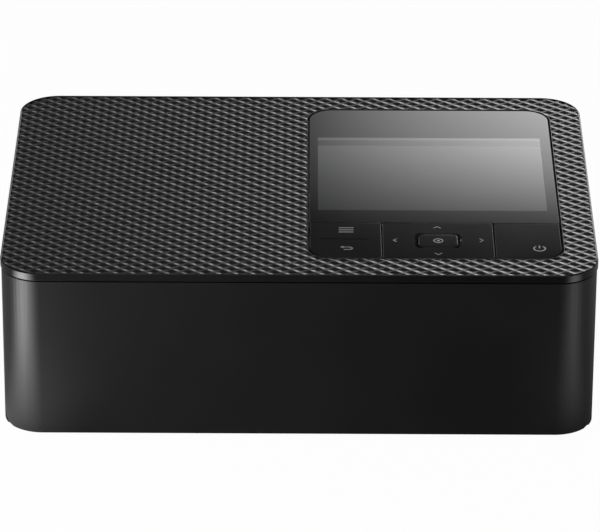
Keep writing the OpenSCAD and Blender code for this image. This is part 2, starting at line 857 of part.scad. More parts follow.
// Lever that is lifted to let the ink cassette out. Its nose hooks over the cassette's grip.
module release_lever() {
    nose_x = cassette_right_x + grip_len + 1.2;
    color(COL_KEY) {
        translate([lever_x, lever_y - lever_w / 2, lever_z])
            rotate([-90, 0, 0])
                cylinder(h = lever_w, r = lever_t / 2 + 0.2);
        box([lever_x, lever_y - lever_w / 2, lever_z - lever_t / 2 + 0.3],
            [nose_x + 1.4, lever_y + lever_w / 2, lever_z + lever_t / 2]);
        translate([lever_x, lever_y - lever_w / 2 - 1.9, lever_z])
            rotate([-90, 0, 0])
                cylinder(h = lever_w + 3.8, r = lever_pin_r);
    }
}

module panel_frame() {
    color(COL_KEY)
        difference() {
            union() {
                panel_slab(frame_flange, frame_z, lid_under_z - frame_z);
                panel_slab(-little, frame_z, frame_seat_z - frame_z);
            }
            key_pocket(-pocket_ledge, frame_z + frame_floor_t);
            key_pocket(panel_gap, key_z - rock_room);
            translate([panel_x, screen_y, lcd_z])
                linear_extrude(case_h)
                    square([lcd_w + 0.2, lcd_d + 0.2], center = true);
            translate([panel_x, screen_y, frame_z - 1])
                linear_extrude(case_h)
                    square([lcd_w - 2 * ledge_w, lcd_d - 2 * ledge_w], center = true);
            for (place = dome_places)
                translate([place[0], place[1], frame_z - 1])
                    cylinder(h = frame_floor_t + 2, r = stem_window_r);
        }
    color(COL_KEY) {
        box([panel_left + 2, divider_y - rocker_rib_w / 2, frame_z + frame_floor_t - little],
            [panel_left + left_key_w - 1.5, divider_y + rocker_rib_w / 2, key_z - fulcrum_gap]);
        for (side = [-1, 1])
            box([pad_mid_x + side * pad_rib_x - rib_reach, key_mid_y - rocker_rib_w / 2,
                 frame_z + frame_floor_t - little],
                [pad_mid_x + side * pad_rib_x + rib_reach, key_mid_y + rocker_rib_w / 2,
                 gimbal_z - fulcrum_gap]);
        for (side = [-1, 1])
            box([right_key_x + side * rail_x - rail_t / 2, key_mid_y - rail_reach,
                 frame_z + frame_floor_t - little],
                [right_key_x + side * rail_x + rail_t / 2, key_mid_y + rail_reach, key_z - slide_room]);
    }
}

// Room under the strip of keys from height z up, with its outline grown by margin.
module key_pocket(margin, z) {
    intersection() {
        panel_slab(margin, z, case_h);
        box([0, panel_front - 1, z], [case_w, window_front + min(margin, 0), case_h]);
    }
}

module display_window() {
    color(COL_GLASS)
        intersection() {
            panel_slab(0, window_z, window_t);
            box([0, window_front, 0], [case_w, case_d, case_h]);
        }
}

module lcd_module() {
    color(COL_INNER)
        translate([panel_x, screen_y, lcd_z])
            linear_extrude(lcd_t)
                square([lcd_w, lcd_d], center = true);
}

module key_board() {
    color(COL_BOARD) {
        difference() {
            box([panel_left + 1, panel_front + 1.5, frame_z - key_board_t],
                [panel_right - 1, window_front - 1, frame_z]);
            for (x = [panel_left + 5, panel_right - 5])
                translate([x, window_front - 3.2, frame_z - key_board_t - 1])
                    cylinder(h = key_board_t + 2, r = screw_r);
        }
        for (place = dome_places)
            translate([place[0], place[1], frame_z - little])
                cylinder(h = dome_h, r = dome_r);
    }
}

// The part of the key strip between two distances from left to right.
module key_cap(left, right) {
    intersection() {
        panel_slab(0, key_z, key_t);
        box([left, panel_front - 1, 0], [right, panel_front + key_strip_d, case_h]);
    }
}

module key_stem(place) {
    translate([place[0], place[1], stem_bottom_z])
        cylinder(h = key_z + little - stem_bottom_z, r = stem_r);
}

module left_key() {
    color(COL_KEY) {
        key_cap(panel_left, panel_left + left_key_w);
        key_stem(dome_places[0]);
        key_stem(dome_places[1]);
    }
}

// Ring that carries the pad and lets it rock both ways.
module pad_gimbal() {
    color(COL_INNER) {
        difference() {
            box([pad_mid_x - gimbal_half[0], key_mid_y - gimbal_half[1], gimbal_z],
                [pad_mid_x + gimbal_half[0], key_mid_y + gimbal_half[1], gimbal_z + gimbal_t]);
            box([pad_mid_x - gimbal_bore[0], key_mid_y - gimbal_bore[1], 0],
                [pad_mid_x + gimbal_bore[0], key_mid_y + gimbal_bore[1], case_h]);
        }
        for (side = [-1, 1])
            box([pad_mid_x - rocker_rib_w / 2, key_mid_y + side * gimbal_rib_y - rib_reach,
                 gimbal_z + gimbal_t - little],
                [pad_mid_x + rocker_rib_w / 2, key_mid_y + side * gimbal_rib_y + rib_reach,
                 key_z - fulcrum_gap]);
    }
}

module direction_pad() {
    color(COL_KEY) {
        difference() {
            key_cap(pad_left, pad_right);
            translate([pad_mid_x, key_mid_y, key_z - 1])
                linear_extrude(case_h)
                    round_rect(ok_w + 2 * ok_side_gap, ok_d + 2 * ok_end_gap, ok_r);
        }
        for (i = [2:5])
            key_stem(dome_places[i]);
    }
}

module ok_button() {
    stem_w = 5;
    stem_d = 3.6;
    color(COL_KEY) {
        slab_at([pad_mid_x, key_mid_y], ok_w, ok_d, ok_r, key_z + 0.4, key_t - 0.5);
        box([pad_mid_x - stem_w / 2, key_mid_y - stem_d / 2, stem_bottom_z + 1],
            [pad_mid_x + stem_w / 2, key_mid_y + stem_d / 2, key_z + 0.5]);
        translate([pad_mid_x, key_mid_y, stem_bottom_z])
            cylinder(h = 1.1, r = stem_r);
    }
}

module slab_at(middle, w, d, r, z, h) {
    translate([middle[0], middle[1], 0])
        slab(w, d, r, z, h);
}

module power_key() {
    color(COL_KEY) {
        key_cap(panel_right - right_key_w, panel_right);
        key_stem(dome_places[7]);
    }
}

module display_flex() {
    flex_w = 14;
    flex_t = 0.2;
    flex_lap = 6;
    flex_run = 9;
    front = board_back_y - flex_lap;
    fold = front + flex_run;
    low = board_z + board_t;
    color(COL_BRONZE)
        along_x(panel_x - flex_w / 2, flex_w)
            polygon([
                [front, low], [front, low + flex_t], [fold, low + flex_t],
                [fold, lcd_z], [fold + flex_t, lcd_z], [fold + flex_t, low],
            ]);
}

module lid_shell() {
    color(COL_LID)
        difference() {
            union() {
                difference() {
                    slab(case_w, case_d, corner_r, lid_base_z, lid_band_h);
                    slab(inner_w - 2 * case_gap, inner_d - 2 * case_gap, inner_r - case_gap,
                         lid_base_z - 1, lid_under_z - lid_base_z + 1);
                }
                difference() {
                    slab(inner_w - 2 * case_gap, inner_d - 2 * case_gap, inner_r - case_gap,
                         lid_skirt_z, lid_under_z - lid_skirt_z + little);
                    slab(inner_w - 2 * case_gap - 2 * skirt_t, inner_d - 2 * case_gap - 2 * skirt_t,
                         inner_r - case_gap - skirt_t, lid_skirt_z - 1, lid_under_z - lid_skirt_z + 1);
                }
                screw_posts(post_top_z, lid_under_z + little);
            }
            panel_slab(panel_gap, lid_under_z - little, case_h);
        }
}

module base_plate() {
    color(COL_STEEL)
        box([plate_left_x, bay_back_y + 1.5, base_z], [plate_right_x + plate_t, plate_back_y, plate_z]);
}

// Outline of a side plate in Y and Z, with the step that the main board rests on.
module plate_outline() {
    difference() {
        translate([plate_front_y, plate_z])
            square([plate_back_y - plate_front_y, plate_top_z + 1.5 - plate_z]);
        translate([plate_front_y - 1, board_z])
            square([board_back_y + 0.4 - plate_front_y + 1, case_h]);
        for (axis = [feed_axis, [platen_y, platen_z], pickup_axis])
            translate(axis) circle(bush_r);
        translate([head_pivot_y, head_pivot_z])
            circle(arm_pin_r + shaft_gap);
        translate([feed_y - block_w / 2, block_z])
            square([block_w, block_h + spring_len]);
    }
}

module side_plate_left() {
    color(COL_STEEL)
        along_x(plate_left_x, plate_t)
            difference() {
                plate_outline();
                translate(takeup_axis) circle(bush_r);
                translate([cam_y - 2.2, head_pivot_z - cam_throw - 1.8])
                    square([3.6, case_h]);
            }
}

module side_plate_right() {
    front = supply_y - supply_barrel_r - 0.9;
    back = takeup_y + takeup_barrel_r + 0.9;
    color(COL_STEEL)
        along_x(plate_right_x, plate_t)
            difference() {
                plate_outline();
                translate([front, web_z - 1.7])
                    square([back - front, case_h]);
            }
}

module roller_bushes() {
    color(COL_BRONZE) {
        for (axis = [feed_axis, [platen_y, platen_z], pickup_axis]) {
            bush(plate_left_x, axis);
            bush(plate_right_x, axis);
        }
        bush(plate_left_x, takeup_axis);
    }
}

module bush(x, axis) {
    difference() {
        rod_x(x, plate_t, axis, bush_r);
        rod_x(x - 1, plate_t + 2, axis, journal_r + shaft_gap);
    }
}

// Tray for the paper cassette, with windows for the tyres above and the lift plate below.
module cassette_bay() {
    roof_z = plate_z + bay_h;
    half = bay_w / 2 + bay_wall_t;
    color(COL_INNER)
        difference() {
            union() {
                box([-half, bay_front_y, base_z], [half, bay_back_y, plate_z]);
                for (x = [-half, bay_w / 2])
                    box([x, bay_front_y, base_z], [x + bay_wall_t, bay_back_y, roof_z]);
                box([-half, bay_front_y, roof_z], [half, bay_back_y, roof_z + bay_t]);
            }
            for (side = [-1, 1])
                box([side * tyre_x - tyre_w / 2 - 1, pickup_axis[0] - pickup_r - 1, roof_z - 1],
                    [side * tyre_x + tyre_w / 2 + 1, pickup_axis[0] + pickup_r + 1, roof_z + bay_t + 1]);
            box([-lift_w / 2 - 0.5, lift_axis_y - lift_len - 0.5, base_z - 1],
                [lift_w / 2 + 0.5, lift_axis_y + 1.5, plate_z + 1]);
            for (x = [-lift_w / 2 - 2.5, lift_w / 2 + 2.5])
                rod_x(x - 2.5, 5, [lift_axis_y, lift_axis_z], lift_pin_r + pin_gap);
        }
}

module lift_plate() {
    color(COL_STEEL) {
        box([-lift_w / 2, lift_axis_y - lift_len, lift_axis_z - lift_t / 2],
            [lift_w / 2, lift_axis_y, lift_axis_z + lift_t / 2]);
        rod_x(-lift_w / 2 - 2.4, lift_w + 4.8, [lift_axis_y, lift_axis_z], lift_pin_r);
    }
}

module roller_shaft(axis, r, end_left, end_right) {
    rod_x(end_left, end_right - end_left, axis, journal_r);
    rod_x(-roller_len / 2, roller_len, axis, r);
}

module pickup_shaft() {
    color(COL_STEEL)
        rod_x(gear_x - 0.4, shaft_right - gear_x + 0.4, pickup_axis, journal_r);
}

module pickup_tyres() {
    color(COL_RUBBER)
        for (side = [-1, 1])
            difference() {
                rod_x(side * tyre_x - tyre_w / 2, tyre_w, pickup_axis, pickup_r);
                rod_x(side * tyre_x - tyre_w, 2 * tyre_w, pickup_axis, journal_r);
            }
}

module pickup_gear() {
    color(COL_GEAR) gear_disc(pickup_axis, teeth_pickup, pickup_phase, journal_r);
}

module feed_roller() {
    color(COL_STEEL) roller_shaft(feed_axis, feed_r, gear_x - 0.4, shaft_right);
}

module feed_gear() {
    color(COL_GEAR) gear_disc(feed_axis, teeth_feed, feed_phase, journal_r);
}

module pinch_roller() {
    color(COL_RUBBER) {
        rod_x(-roller_len / 2, roller_len, [feed_y, pinch_z], pinch_r);
        rod_x(plate_left_x - 0.5, plate_right_x + plate_t + 1 - plate_left_x,
              [feed_y, pinch_z], pinch_journal_r);
    }
}

module pinch_bearings() {
    color(COL_GEAR)
        for (x = [plate_left_x, plate_right_x])
            along_x(x, plate_t)
                difference() {
                    translate([feed_y - block_w / 2, block_z])
                        square([block_w, block_h]);
                    translate([feed_y, pinch_z])
                        circle(pinch_journal_r + shaft_gap);
                }
}

// Compression springs between the pinch bearings and the tops of their slots, with flat end coils.
module pinch_springs() {
    sides = 6;
    rings = 12 * spring_turns;
    low = block_z + block_h + wire_r;
    rise = spring_len - 2 * wire_r;
    color(COL_STEEL)
        for (x = [plate_left_x, plate_right_x])
            translate([x + plate_t / 2, feed_y, low])
                polyhedron(
                    [for (i = [0:rings], k = [0:sides - 1])
                        let (turn = 360 * spring_turns * i / rings, r = spring_r + wire_r * cos(60 * k))
                        [r * cos(turn), r * sin(turn), rise * i / rings + wire_r * sin(60 * k)]],
                    concat(
                        [[for (k = [0:sides - 1]) k]],
                        [[for (k = [0:sides - 1]) rings * sides + sides - 1 - k]],
                        [for (i = [0:rings - 1], k = [0:sides - 1])
                            let (a = i * sides + k, b = i * sides + (k + 1) % sides)
                            each [[a, a + sides, b + sides], [a, b + sides, b]]]));
}

module platen_shaft() {
    color(COL_STEEL)
        rod_x(shaft_left, shaft_right - shaft_left, [platen_y, platen_z], journal_r);
}

module platen_rubber() {
    color(COL_RUBBER)
        difference() {
            rod_x(-roller_len / 2, roller_len, [platen_y, platen_z], platen_r);
            rod_x(-roller_len, 2 * roller_len, [platen_y, platen_z], journal_r);
        }
}

module middle_guide() {
    front = feed_y + feed_r + 0.6;
    back = platen_y - platen_r - 0.6;
    color(COL_INNER) {
        box([-guide_w / 2, front, guide_z - guide_t], [guide_w / 2, back, guide_z]);
        for (x = [-guide_w / 2, guide_w / 2 - 2])
            box([x, front + 2, plate_z], [x + 2, back - 2, guide_z - guide_t + little]);
    }
}

module rear_guide() {
    front = platen_y + platen_r + 0.8;
    mouth = takeup_y + takeup_barrel_r + 1.5;
    back = inner_d / 2 - 0.2;
    color(COL_INNER) {
        box([-guide_w / 2, front, guide_z - guide_t], [guide_w / 2, back, guide_z]);
        box([-guide_w / 2, mouth, slot_z + slot_h], [guide_w / 2, back, slot_z + slot_h + guide_t]);
        for (x = [-guide_w / 2 - guide_t, guide_w / 2]) {
            box([x, mouth, guide_z - guide_t], [x + guide_t, back, slot_z + slot_h + guide_t]);
            box([x, front + 2, plate_z], [x + guide_t, plate_back_y - 1, guide_z]);
        }
    }
}

module feed_motor() {
    color(COL_STEEL) {
        rod_x(bracket_x - motor_len, motor_len, motor_axis, motor_r);
        difference() {
            rod_x(bracket_x - little, plate_t + 0.6, motor_axis, motor_boss_r);
            rod_x(bracket_x, 3 * plate_t, motor_axis, motor_shaft_r + shaft_gap);
        }
    }
}

module motor_bracket() {
    color(COL_STEEL) {
        along_x(bracket_x, plate_t)
            difference() {
                union() {
                    for (place = bracket_posts)
                        translate(place) circle(standoff_r + 1.5);
                    polygon(bracket_posts);
                    polygon([bracket_posts[0] + [-3, -3], bracket_posts[1] + [3, 0],
                             motor_axis + [10, -14], motor_axis + [-14, -12]]);
                }
                translate(motor_axis) circle(motor_boss_r);
            }
        for (place = bracket_posts)
            rod_x(bracket_x + plate_t - little, plate_left_x - bracket_x - plate_t + little,
                  place, standoff_r);
    }
}

module motor_pinion() {
    color(COL_GEAR) {
        gear_disc(motor_axis, teeth_motor, motor_phase, motor_shaft_r);
        rod_x(bracket_x + 0.3, gear_x + gear_w - bracket_x - 0.3, motor_axis, motor_shaft_r);
    }
}

// Steel posts riveted into the left plate, for the idler gears and the cam.
module gear_posts() {
    color(COL_STEEL)
        for (axis = [big_axis, idler_axis, relay_axis, [cam_y, cam_z]])
            rod_x(gear_x - 0.6, plate_left_x - gear_x + 0.6, axis, gear_post_r);
}

module big_idler() {
    color(COL_GEAR) gear_disc(big_axis, teeth_big, big_phase, gear_post_r + pin_gap);
}

module takeup_idler() {
    color(COL_GEAR) gear_disc(idler_axis, teeth_idler, idler_phase, gear_post_r + pin_gap);
}

module relay_idler() {
    color(COL_GEAR) gear_disc(relay_axis, teeth_relay, relay_phase, gear_post_r + pin_gap);
}

// Drive gear of the take-up spool, with the hub that reaches into the spool.
module takeup_gear() {
    color(COL_GEAR) {
        gear_disc(takeup_axis, teeth_takeup, takeup_phase, journal_r - 0.5);
        rod_x(gear_x, cassette_left_x + hub_reach - gear_x, takeup_axis, journal_r);
    }
}

// Fixed hub that brakes the supply spool.
module supply_brake() {
    color(COL_GEAR)
        rod_x(plate_left_x + plate_t, cassette_left_x + hub_reach - plate_left_x - plate_t,
              supply_axis, journal_r);
}

// A tube between the cassette's ends, open where the ribbon leaves it.
module barrel_outline(axis, r, side) {
    difference() {
        translate(axis) circle(r);
        translate(axis) circle(r - barrel_t);
        translate([axis[0] + (side > 0 ? 0 : -r - 1), axis[1] - r - 1])
            square([r + 1, r - 2]);
    }
}

module cassette_end() {
    difference() {
        union() {
            translate(supply_axis) circle(supply_barrel_r);
            translate(takeup_axis) circle(takeup_barrel_r);
            translate([supply_y, spool_z - 4])
                square([takeup_y - supply_y, 9]);
        }
        for (axis = [supply_axis, takeup_axis])
            translate(axis) circle(spool_journal_r + spool_gap);
    }
}

module ink_cassette_shell() {
    inner_left = cassette_left_x + end_t;
    length = cassette_right_x - end_t - inner_left;
    grip_y = (supply_y + takeup_y) / 2;
    color(COL_CASSETTE) {
        along_x(inner_left - little, length + 2 * little) {
            barrel_outline(supply_axis, supply_barrel_r, 1);
            barrel_outline(takeup_axis, takeup_barrel_r, -1);
        }
        along_x(cassette_left_x, end_t) cassette_end();
        along_x(cassette_right_x - end_t, end_t) cassette_end();
        box([cassette_right_x - little, grip_y - grip_w / 2, grip_low_z],
            [cassette_right_x + grip_len, grip_y + grip_w / 2, grip_low_z + grip_t]);
        box([cassette_right_x + grip_len - grip_t, grip_y - grip_w / 2, grip_low_z],
            [cassette_right_x + grip_len, grip_y + grip_w / 2, grip_high_z]);
    }
}

module spool(axis, roll_r) {
    length = cassette_right_x - cassette_left_x;
    core_in = end_t + 0.2;
    difference() {
        union() {
            rod_x(cassette_left_x + core_in, length - 2 * core_in, axis, core_r);
            rod_x(cassette_left_x, length, axis, spool_journal_r);
            rod_x(-roll_half, 2 * roll_half, axis, roll_r);
        }
        rod_x(cassette_left_x - 1, hub_reach + 2, axis, journal_r + hub_gap);
    }
}

module supply_spool() {
    color(COL_RIBBON) spool(supply_axis, supply_roll_r);
}

module takeup_spool() {
    color(COL_RIBBON) spool(takeup_axis, takeup_roll_r);
}

// The ribbon between the spools, drawn as a thin sheet that passes close over the platen.
module ribbon_web() {
    path = [
        supply_axis + (supply_roll_r + 0.4) * [cos(-62), sin(-62)],
        [platen_y - 5, web_z],
        [platen_y + 5, web_z],
        takeup_axis + (takeup_roll_r + 0.4) * [cos(-118), sin(-118)],
    ];
    color(COL_RIBBON)
        along_x(-roll_half, 2 * roll_half)
            polygon(concat(path, [for (i = [3:-1:0]) path[i] + [0, ribbon_t]]));
}

module head_arm() {
    left = plate_left_x + plate_t + 0.5;
    right = plate_right_x - 0.5;
    pivot = [head_pivot_y, head_pivot_z];
    color(COL_STEEL) {
        box([left, arm_front_y, arm_z], [right, head_pivot_y, arm_z + arm_t]);
        rod_x(left, right - left, pivot, arm_pin_r + 0.6);
        rod_x(plate_left_x - 0.4, plate_right_x + plate_t + 0.8 - plate_left_x, pivot, arm_pin_r);
        rod_x(gear_x + 0.5, left + 2 - gear_x - 0.5, [cam_y, head_pivot_z], cam_pin_r);
        box([left, cam_y - 2, head_pivot_z - cam_pin_r], [left + 2, cam_y + 2, head_pivot_z + cam_pin_r]);
    }
}

module heat_sink() {
    front = head_mid_y - sink_w / 2;
    low = head_bottom_z + head_t;
    pitch = 2 * (head_half - sink_edge) / sink_fins;
    color(COL_ALU)
        difference() {
            box([-head_half, front, low], [head_half, front + sink_w, arm_z]);
            for (i = [0:sink_fins - 1])
                translate([sink_edge - head_half + i * pitch, front + 2.5, low + 6])
                    cube([fin_gap, case_d, arm_z - 2 - low - 6]);
        }
}

module thermal_head() {
    color(COL_CASSETTE) {
        box([-head_half, head_mid_y - sink_w / 2, head_bottom_z + heat_line_h],
            [head_half, head_mid_y + sink_w / 2, head_bottom_z + head_t]);
        box([-paper_w / 2 - 1, head_mid_y - heat_line_w / 2, head_bottom_z],
            [paper_w / 2 + 1, head_mid_y + heat_line_w / 2, head_bottom_z + heat_line_h + little]);
    }
}

// Spiral cam: its radius grows evenly with the turn, so the gap to the arm's pin stays the same.
module head_cam() {
    steps = 24;
    spiral = cam_turn + 30;
    color(COL_GEAR)
        along_x(gear_x + 0.5, 3)
            translate([cam_y, cam_z])
                rotate(-90)
                    difference() {
                        union() {
                            circle(cam_small_r);
                            polygon(concat([[0, 0]], [
                                for (turn = [0:spiral / steps:spiral + little])
                                    (cam_small_r + cam_throw * turn / cam_turn) * [cos(turn), sin(turn)]
                            ]));
                        }
                        circle(gear_post_r + pin_gap);
                    }
}

module main_board() {
    top = board_z + board_t;
    left = -inner_w / 2 + 2;
    color(COL_BOARD) {
        box([plate_left_x, board_front_y, board_z], [plate_right_x + plate_t, board_back_y, top]);
        box([left, board_front_y + 1, board_z], [plate_left_x + little, board_back_y, top]);
        box([left, board_front_y + 1, board_z], [plate_left_x - case_gap, usb_y + usb_w / 2 + board_tail, top]);
    }
    // Processor, memory, motor driver and power stage: place from the board's front edge, size, height.
    chips = [[-20, 7, 18, 18, 1.4], [6, 11, 10, 10, 1.2], [-46, 5, 16, 10, 1.2], [38, 5, 16, 14, 2.0]];
    color(COL_INNER)
        for (chip = chips)
            translate([chip[0], board_front_y + chip[1], top - little])
                cube([chip[2], chip[3], chip[4] + little]);
}

module card_socket() {
    top = board_z + board_t;
    wall_x = -inner_w / 2;
    usb_mid_z = top + usb_h / 2;
    color(COL_STEEL) {
        difference() {
            box([wall_x + 0.2, card_y - card_w / 2 - 1, top],
                [wall_x + 0.2 + card_socket_d, card_y + card_w / 2 + 1, top + card_socket_h]);
            box([wall_x - 1, card_y - card_w / 2 - socket_wall, top + socket_wall],
                [wall_x + card_socket_d - 2, card_y + card_w / 2 + socket_wall,
                 top + card_socket_h - socket_wall]);
        }
        difference() {
            box([wall_x - 1.2, usb_y - usb_w / 2, top],
                [wall_x - 1.2 + usb_d, usb_y + usb_w / 2, top + usb_h]);
            box([-right_x, usb_y - usb_w / 2 + socket_wall, top + socket_wall],
                [wall_x - 2 + usb_d, usb_y + usb_w / 2 - socket_wall, top + usb_h - socket_wall]);
        }
        box([wall_x - 0.6, usb_y - usb_tongue_w / 2, usb_mid_z - usb_tongue_t / 2],
            [wall_x - 1.6 + usb_d, usb_y + usb_tongue_w / 2, usb_mid_z + usb_tongue_t / 2]);
    }
}

// Power socket on a small board that stands on the base beside the left plate.
module power_inlet() {
    back = inner_d / 2 + wall_t - 0.6;
    front = back - jack_d;
    color(COL_INNER) {
        difference() {
            box([jack_x - jack_w / 2, front, jack_z], [jack_x + jack_w / 2, back, jack_z + jack_h]);
            translate([jack_x, back + 1, jack_z + jack_h / 2])
                rotate([90, 0, 0])
                    cylinder(h = jack_d, r = jack_hole_r);
        }
        translate([jack_x, back - 0.8, jack_z + jack_h / 2])
            rotate([90, 0, 0])
                cylinder(h = jack_d - 1, r = jack_pin_r);
    }
    color(COL_BOARD)
        box([jack_x + jack_w / 2, front - jack_board_front, bottom_top_z],
            [plate_left_x - 0.6, back - jack_board_back, jack_z + jack_h + jack_board_over]);
}

bottom_cover();
rubber_feet();
case_screws();
body_shell();
front_bezel();
lid_shell();
panel_frame();
display_window();
lcd_module();
key_board();
left_key();
pad_gimbal();
direction_pad();
ok_button();
power_key();
display_flex();
front_door();
front_door_pins();
ink_door();
ink_door_pins();
ink_bay_guide();
release_lever();
base_plate();
side_plate_left();
side_plate_right();
roller_bushes();
cassette_bay();
lift_plate();
pickup_shaft();
pickup_tyres();
pickup_gear();
feed_roller();
feed_gear();
pinch_roller();
pinch_bearings();
pinch_springs();
platen_shaft();
platen_rubber();
middle_guide();
rear_guide();
feed_motor();
motor_bracket();
motor_pinion();
gear_posts();
big_idler();
takeup_idler();
relay_idler();
takeup_gear();
supply_brake();
ink_cassette_shell();
supply_spool();
takeup_spool();
ribbon_web();
head_arm();
heat_sink();
thermal_head();
head_cam();
main_board();
card_socket();
power_inlet();
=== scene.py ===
# %% [markdown]
# # A compact photo printer, dressed in Blender
# The printer comes in as a finished CAD frame: every panel, key, gear and roller is already where
# it belongs. Blender adds what a camera sees: the embossed lid, softly rounded edges, printed
# symbols and the finish of each material. Lengths of the printer are in millimetres and become
# metres only when a mesh is made. The floor, the walls and the lamps are placed in metres.

# %% Load the frame
import json
import math

import bmesh
import bpy
import numpy as np
from mathutils import Matrix, Vector
from mathutils.geometry import tessellate_polygon

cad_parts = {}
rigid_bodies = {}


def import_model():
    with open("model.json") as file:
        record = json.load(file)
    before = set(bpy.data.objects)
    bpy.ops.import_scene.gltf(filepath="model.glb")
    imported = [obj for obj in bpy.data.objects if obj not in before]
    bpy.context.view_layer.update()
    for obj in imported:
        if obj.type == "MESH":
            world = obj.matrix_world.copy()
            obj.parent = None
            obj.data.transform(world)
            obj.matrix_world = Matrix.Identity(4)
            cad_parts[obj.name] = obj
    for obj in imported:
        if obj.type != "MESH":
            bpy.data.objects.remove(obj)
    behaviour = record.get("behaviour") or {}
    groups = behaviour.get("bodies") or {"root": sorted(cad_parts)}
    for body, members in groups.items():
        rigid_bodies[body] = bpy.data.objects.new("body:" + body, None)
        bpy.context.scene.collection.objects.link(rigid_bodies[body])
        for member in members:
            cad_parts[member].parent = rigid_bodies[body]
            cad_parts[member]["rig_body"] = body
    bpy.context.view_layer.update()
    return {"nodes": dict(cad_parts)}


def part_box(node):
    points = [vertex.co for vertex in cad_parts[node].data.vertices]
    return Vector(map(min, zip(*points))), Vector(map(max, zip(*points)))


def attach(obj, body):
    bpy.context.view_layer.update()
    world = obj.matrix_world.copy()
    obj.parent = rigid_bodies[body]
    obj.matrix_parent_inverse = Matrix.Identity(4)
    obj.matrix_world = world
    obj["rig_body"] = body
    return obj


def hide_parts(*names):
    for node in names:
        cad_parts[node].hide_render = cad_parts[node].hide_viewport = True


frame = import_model()
MM = 0.001

# %% [markdown]
# ## The camera
# A catalogue photo is taken from far away with a long lens, so that upright edges stay nearly
# upright. The lens, the height and the tilt below were worked out from the corners of the case.
# The view direction is built from three turns: a little roll, the tilt, and a little yaw.

# %% Camera
PHOTO_WIDTH_PX = 600
FOCAL_PX = 4559.1
SENSOR_MM = 36
NEAR_CLIP, FAR_CLIP = 0.05, 50
CAMERA_AT = Vector((0.749, -1303.10, 663.26)) * MM
PITCH_DOWN, YAW, ROLL = 25.985, 0.0233, 0.262

camera_data = bpy.data.cameras.new("studio_camera")
camera_data.sensor_width = SENSOR_MM
camera_data.lens = FOCAL_PX / PHOTO_WIDTH_PX * SENSOR_MM
camera_data.clip_start, camera_data.clip_end = NEAR_CLIP, FAR_CLIP
camera = bpy.data.objects.new("studio_camera", camera_data)
bpy.context.scene.collection.objects.link(camera)
camera.matrix_world = (
    Matrix.Translation(CAMERA_AT)
    @ Matrix.Rotation(math.radians(YAW), 4, "Z")
    @ Matrix.Rotation(math.radians(90 - PITCH_DOWN), 4, "X")
    @ Matrix.Rotation(math.radians(ROLL), 4, "Z")
)
bpy.context.scene.camera = camera
bpy.context.scene.view_settings.view_transform = "Standard"
print("lens:", round(camera_data.lens, 1), "mm")

# %% [markdown]
# ## Small helpers for materials
# Colours are written as the hex values one would pick from a picture. Shaders work in linear
# light, so one function converts them. A second one adds a node with its settings and links, which
# keeps each material below down to a few readable lines. Grain, dust and streaks are all noise, and
# they look right when their size is right, so one function takes that size in millimetres. Every
# finish ends the same way, with colours along a pattern, a relief and a roughness that varies, so
# the last function joins these three to the shader.

# %% Colour and node helpers
def linear(hex_colour):
    """sRGB to linear light: c/12.92 for dark values, ((c+0.055)/1.055)^2.4 for the rest."""
    value = np.array([int(hex_colour[i:i + 2], 16) / 255 for i in (1, 3, 5)])
    value = np.where(value <= 0.04045, value / 12.92, ((value + 0.055) / 1.055) ** 2.4)
    return (*value.tolist(), 1.0)


def join(tree, node, inputs):
    """Fills a node's sockets: an output or a node, meaning its first output, is linked, and
    anything else is a value."""
    for name, value in inputs.items():
        if isinstance(value, bpy.types.Node):
            value = value.outputs[0]
        if isinstance(value, bpy.types.NodeSocket):
            tree.links.new(value, node.inputs[name])
        else:
            node.inputs[name].default_value = value


def add_node(tree, kind, inputs=None, stops=None, **settings):
    """Adds a node. Its inputs go as in join, stops are the (position, hex colour) pairs of a colour
    ramp, and settings are the node's own properties."""
    node = tree.nodes.new(kind)
    for name, value in settings.items():
        setattr(node, name, value)
    join(tree, node, inputs or {})
    if stops:
        elements = node.color_ramp.elements
        while len(elements) < len(stops):
            elements.new(0.5)
        for element, (position, colour) in zip(elements, stops):
            element.position = position
            element.color = linear(colour)
    return node


def new_material(name, **constants):
    """A Principled material whose even values sit on the shader's own sockets."""
    material = bpy.data.materials.new(name)
    material.use_nodes = True
    shader = material.node_tree.nodes["Principled BSDF"]
    for socket, value in constants.items():
        shader.inputs[socket.replace("_", " ")].default_value = value
    return material, material.node_tree, shader


def grains(tree, size_mm, detail=2.0, stretch=(1, 1, 1)):
    """Noise on Object coordinates whose grains are about size_mm wide; stretch makes streaks."""
    place = add_node(tree, "ShaderNodeTexCoord").outputs["Object"]
    mapping = add_node(tree, "ShaderNodeMapping", {"Vector": place, "Scale": [1 / s for s in stretch]})
    return add_node(tree, "ShaderNodeTexNoise", {
        "Vector": mapping, "Scale": 1 / (size_mm * MM), "Detail": detail,
    })


def way_back(tree, front_y, back_y):
    """(y - front_y) / (back_y - front_y) on Object coordinates, kept between 0 and 1."""
    place = add_node(tree, "ShaderNodeTexCoord").outputs["Object"]
    along = add_node(tree, "ShaderNodeSeparateXYZ", {0: place}).outputs["Y"]
    return add_node(tree, "ShaderNodeMapRange", {
        "Value": along, "From Min": front_y * MM, "From Max": back_y * MM,
    })


def dress(tree, shader, pattern, stops, relief, depth_mm, gloss=None, rough=(0, 1)):
    """Colours along a pattern, a relief of the given depth and, where gloss is a pattern too, a
    roughness that follows it between two values."""
    join(tree, shader, {
        "Base Color": add_node(tree, "ShaderNodeValToRGB", {"Fac": pattern}, stops),
        "Normal": add_node(tree, "ShaderNodeBump", {"Height": relief, "Distance": depth_mm * MM}),
    })
    if gloss is not None:
        join(tree, shader, {"Roughness": add_node(tree, "ShaderNodeMapRange", {
            "Value": gloss, "To Min": rough[0], "To Max": rough[1],
        })})


print("mid grey in linear light:", round(linear("#808080")[0], 3))

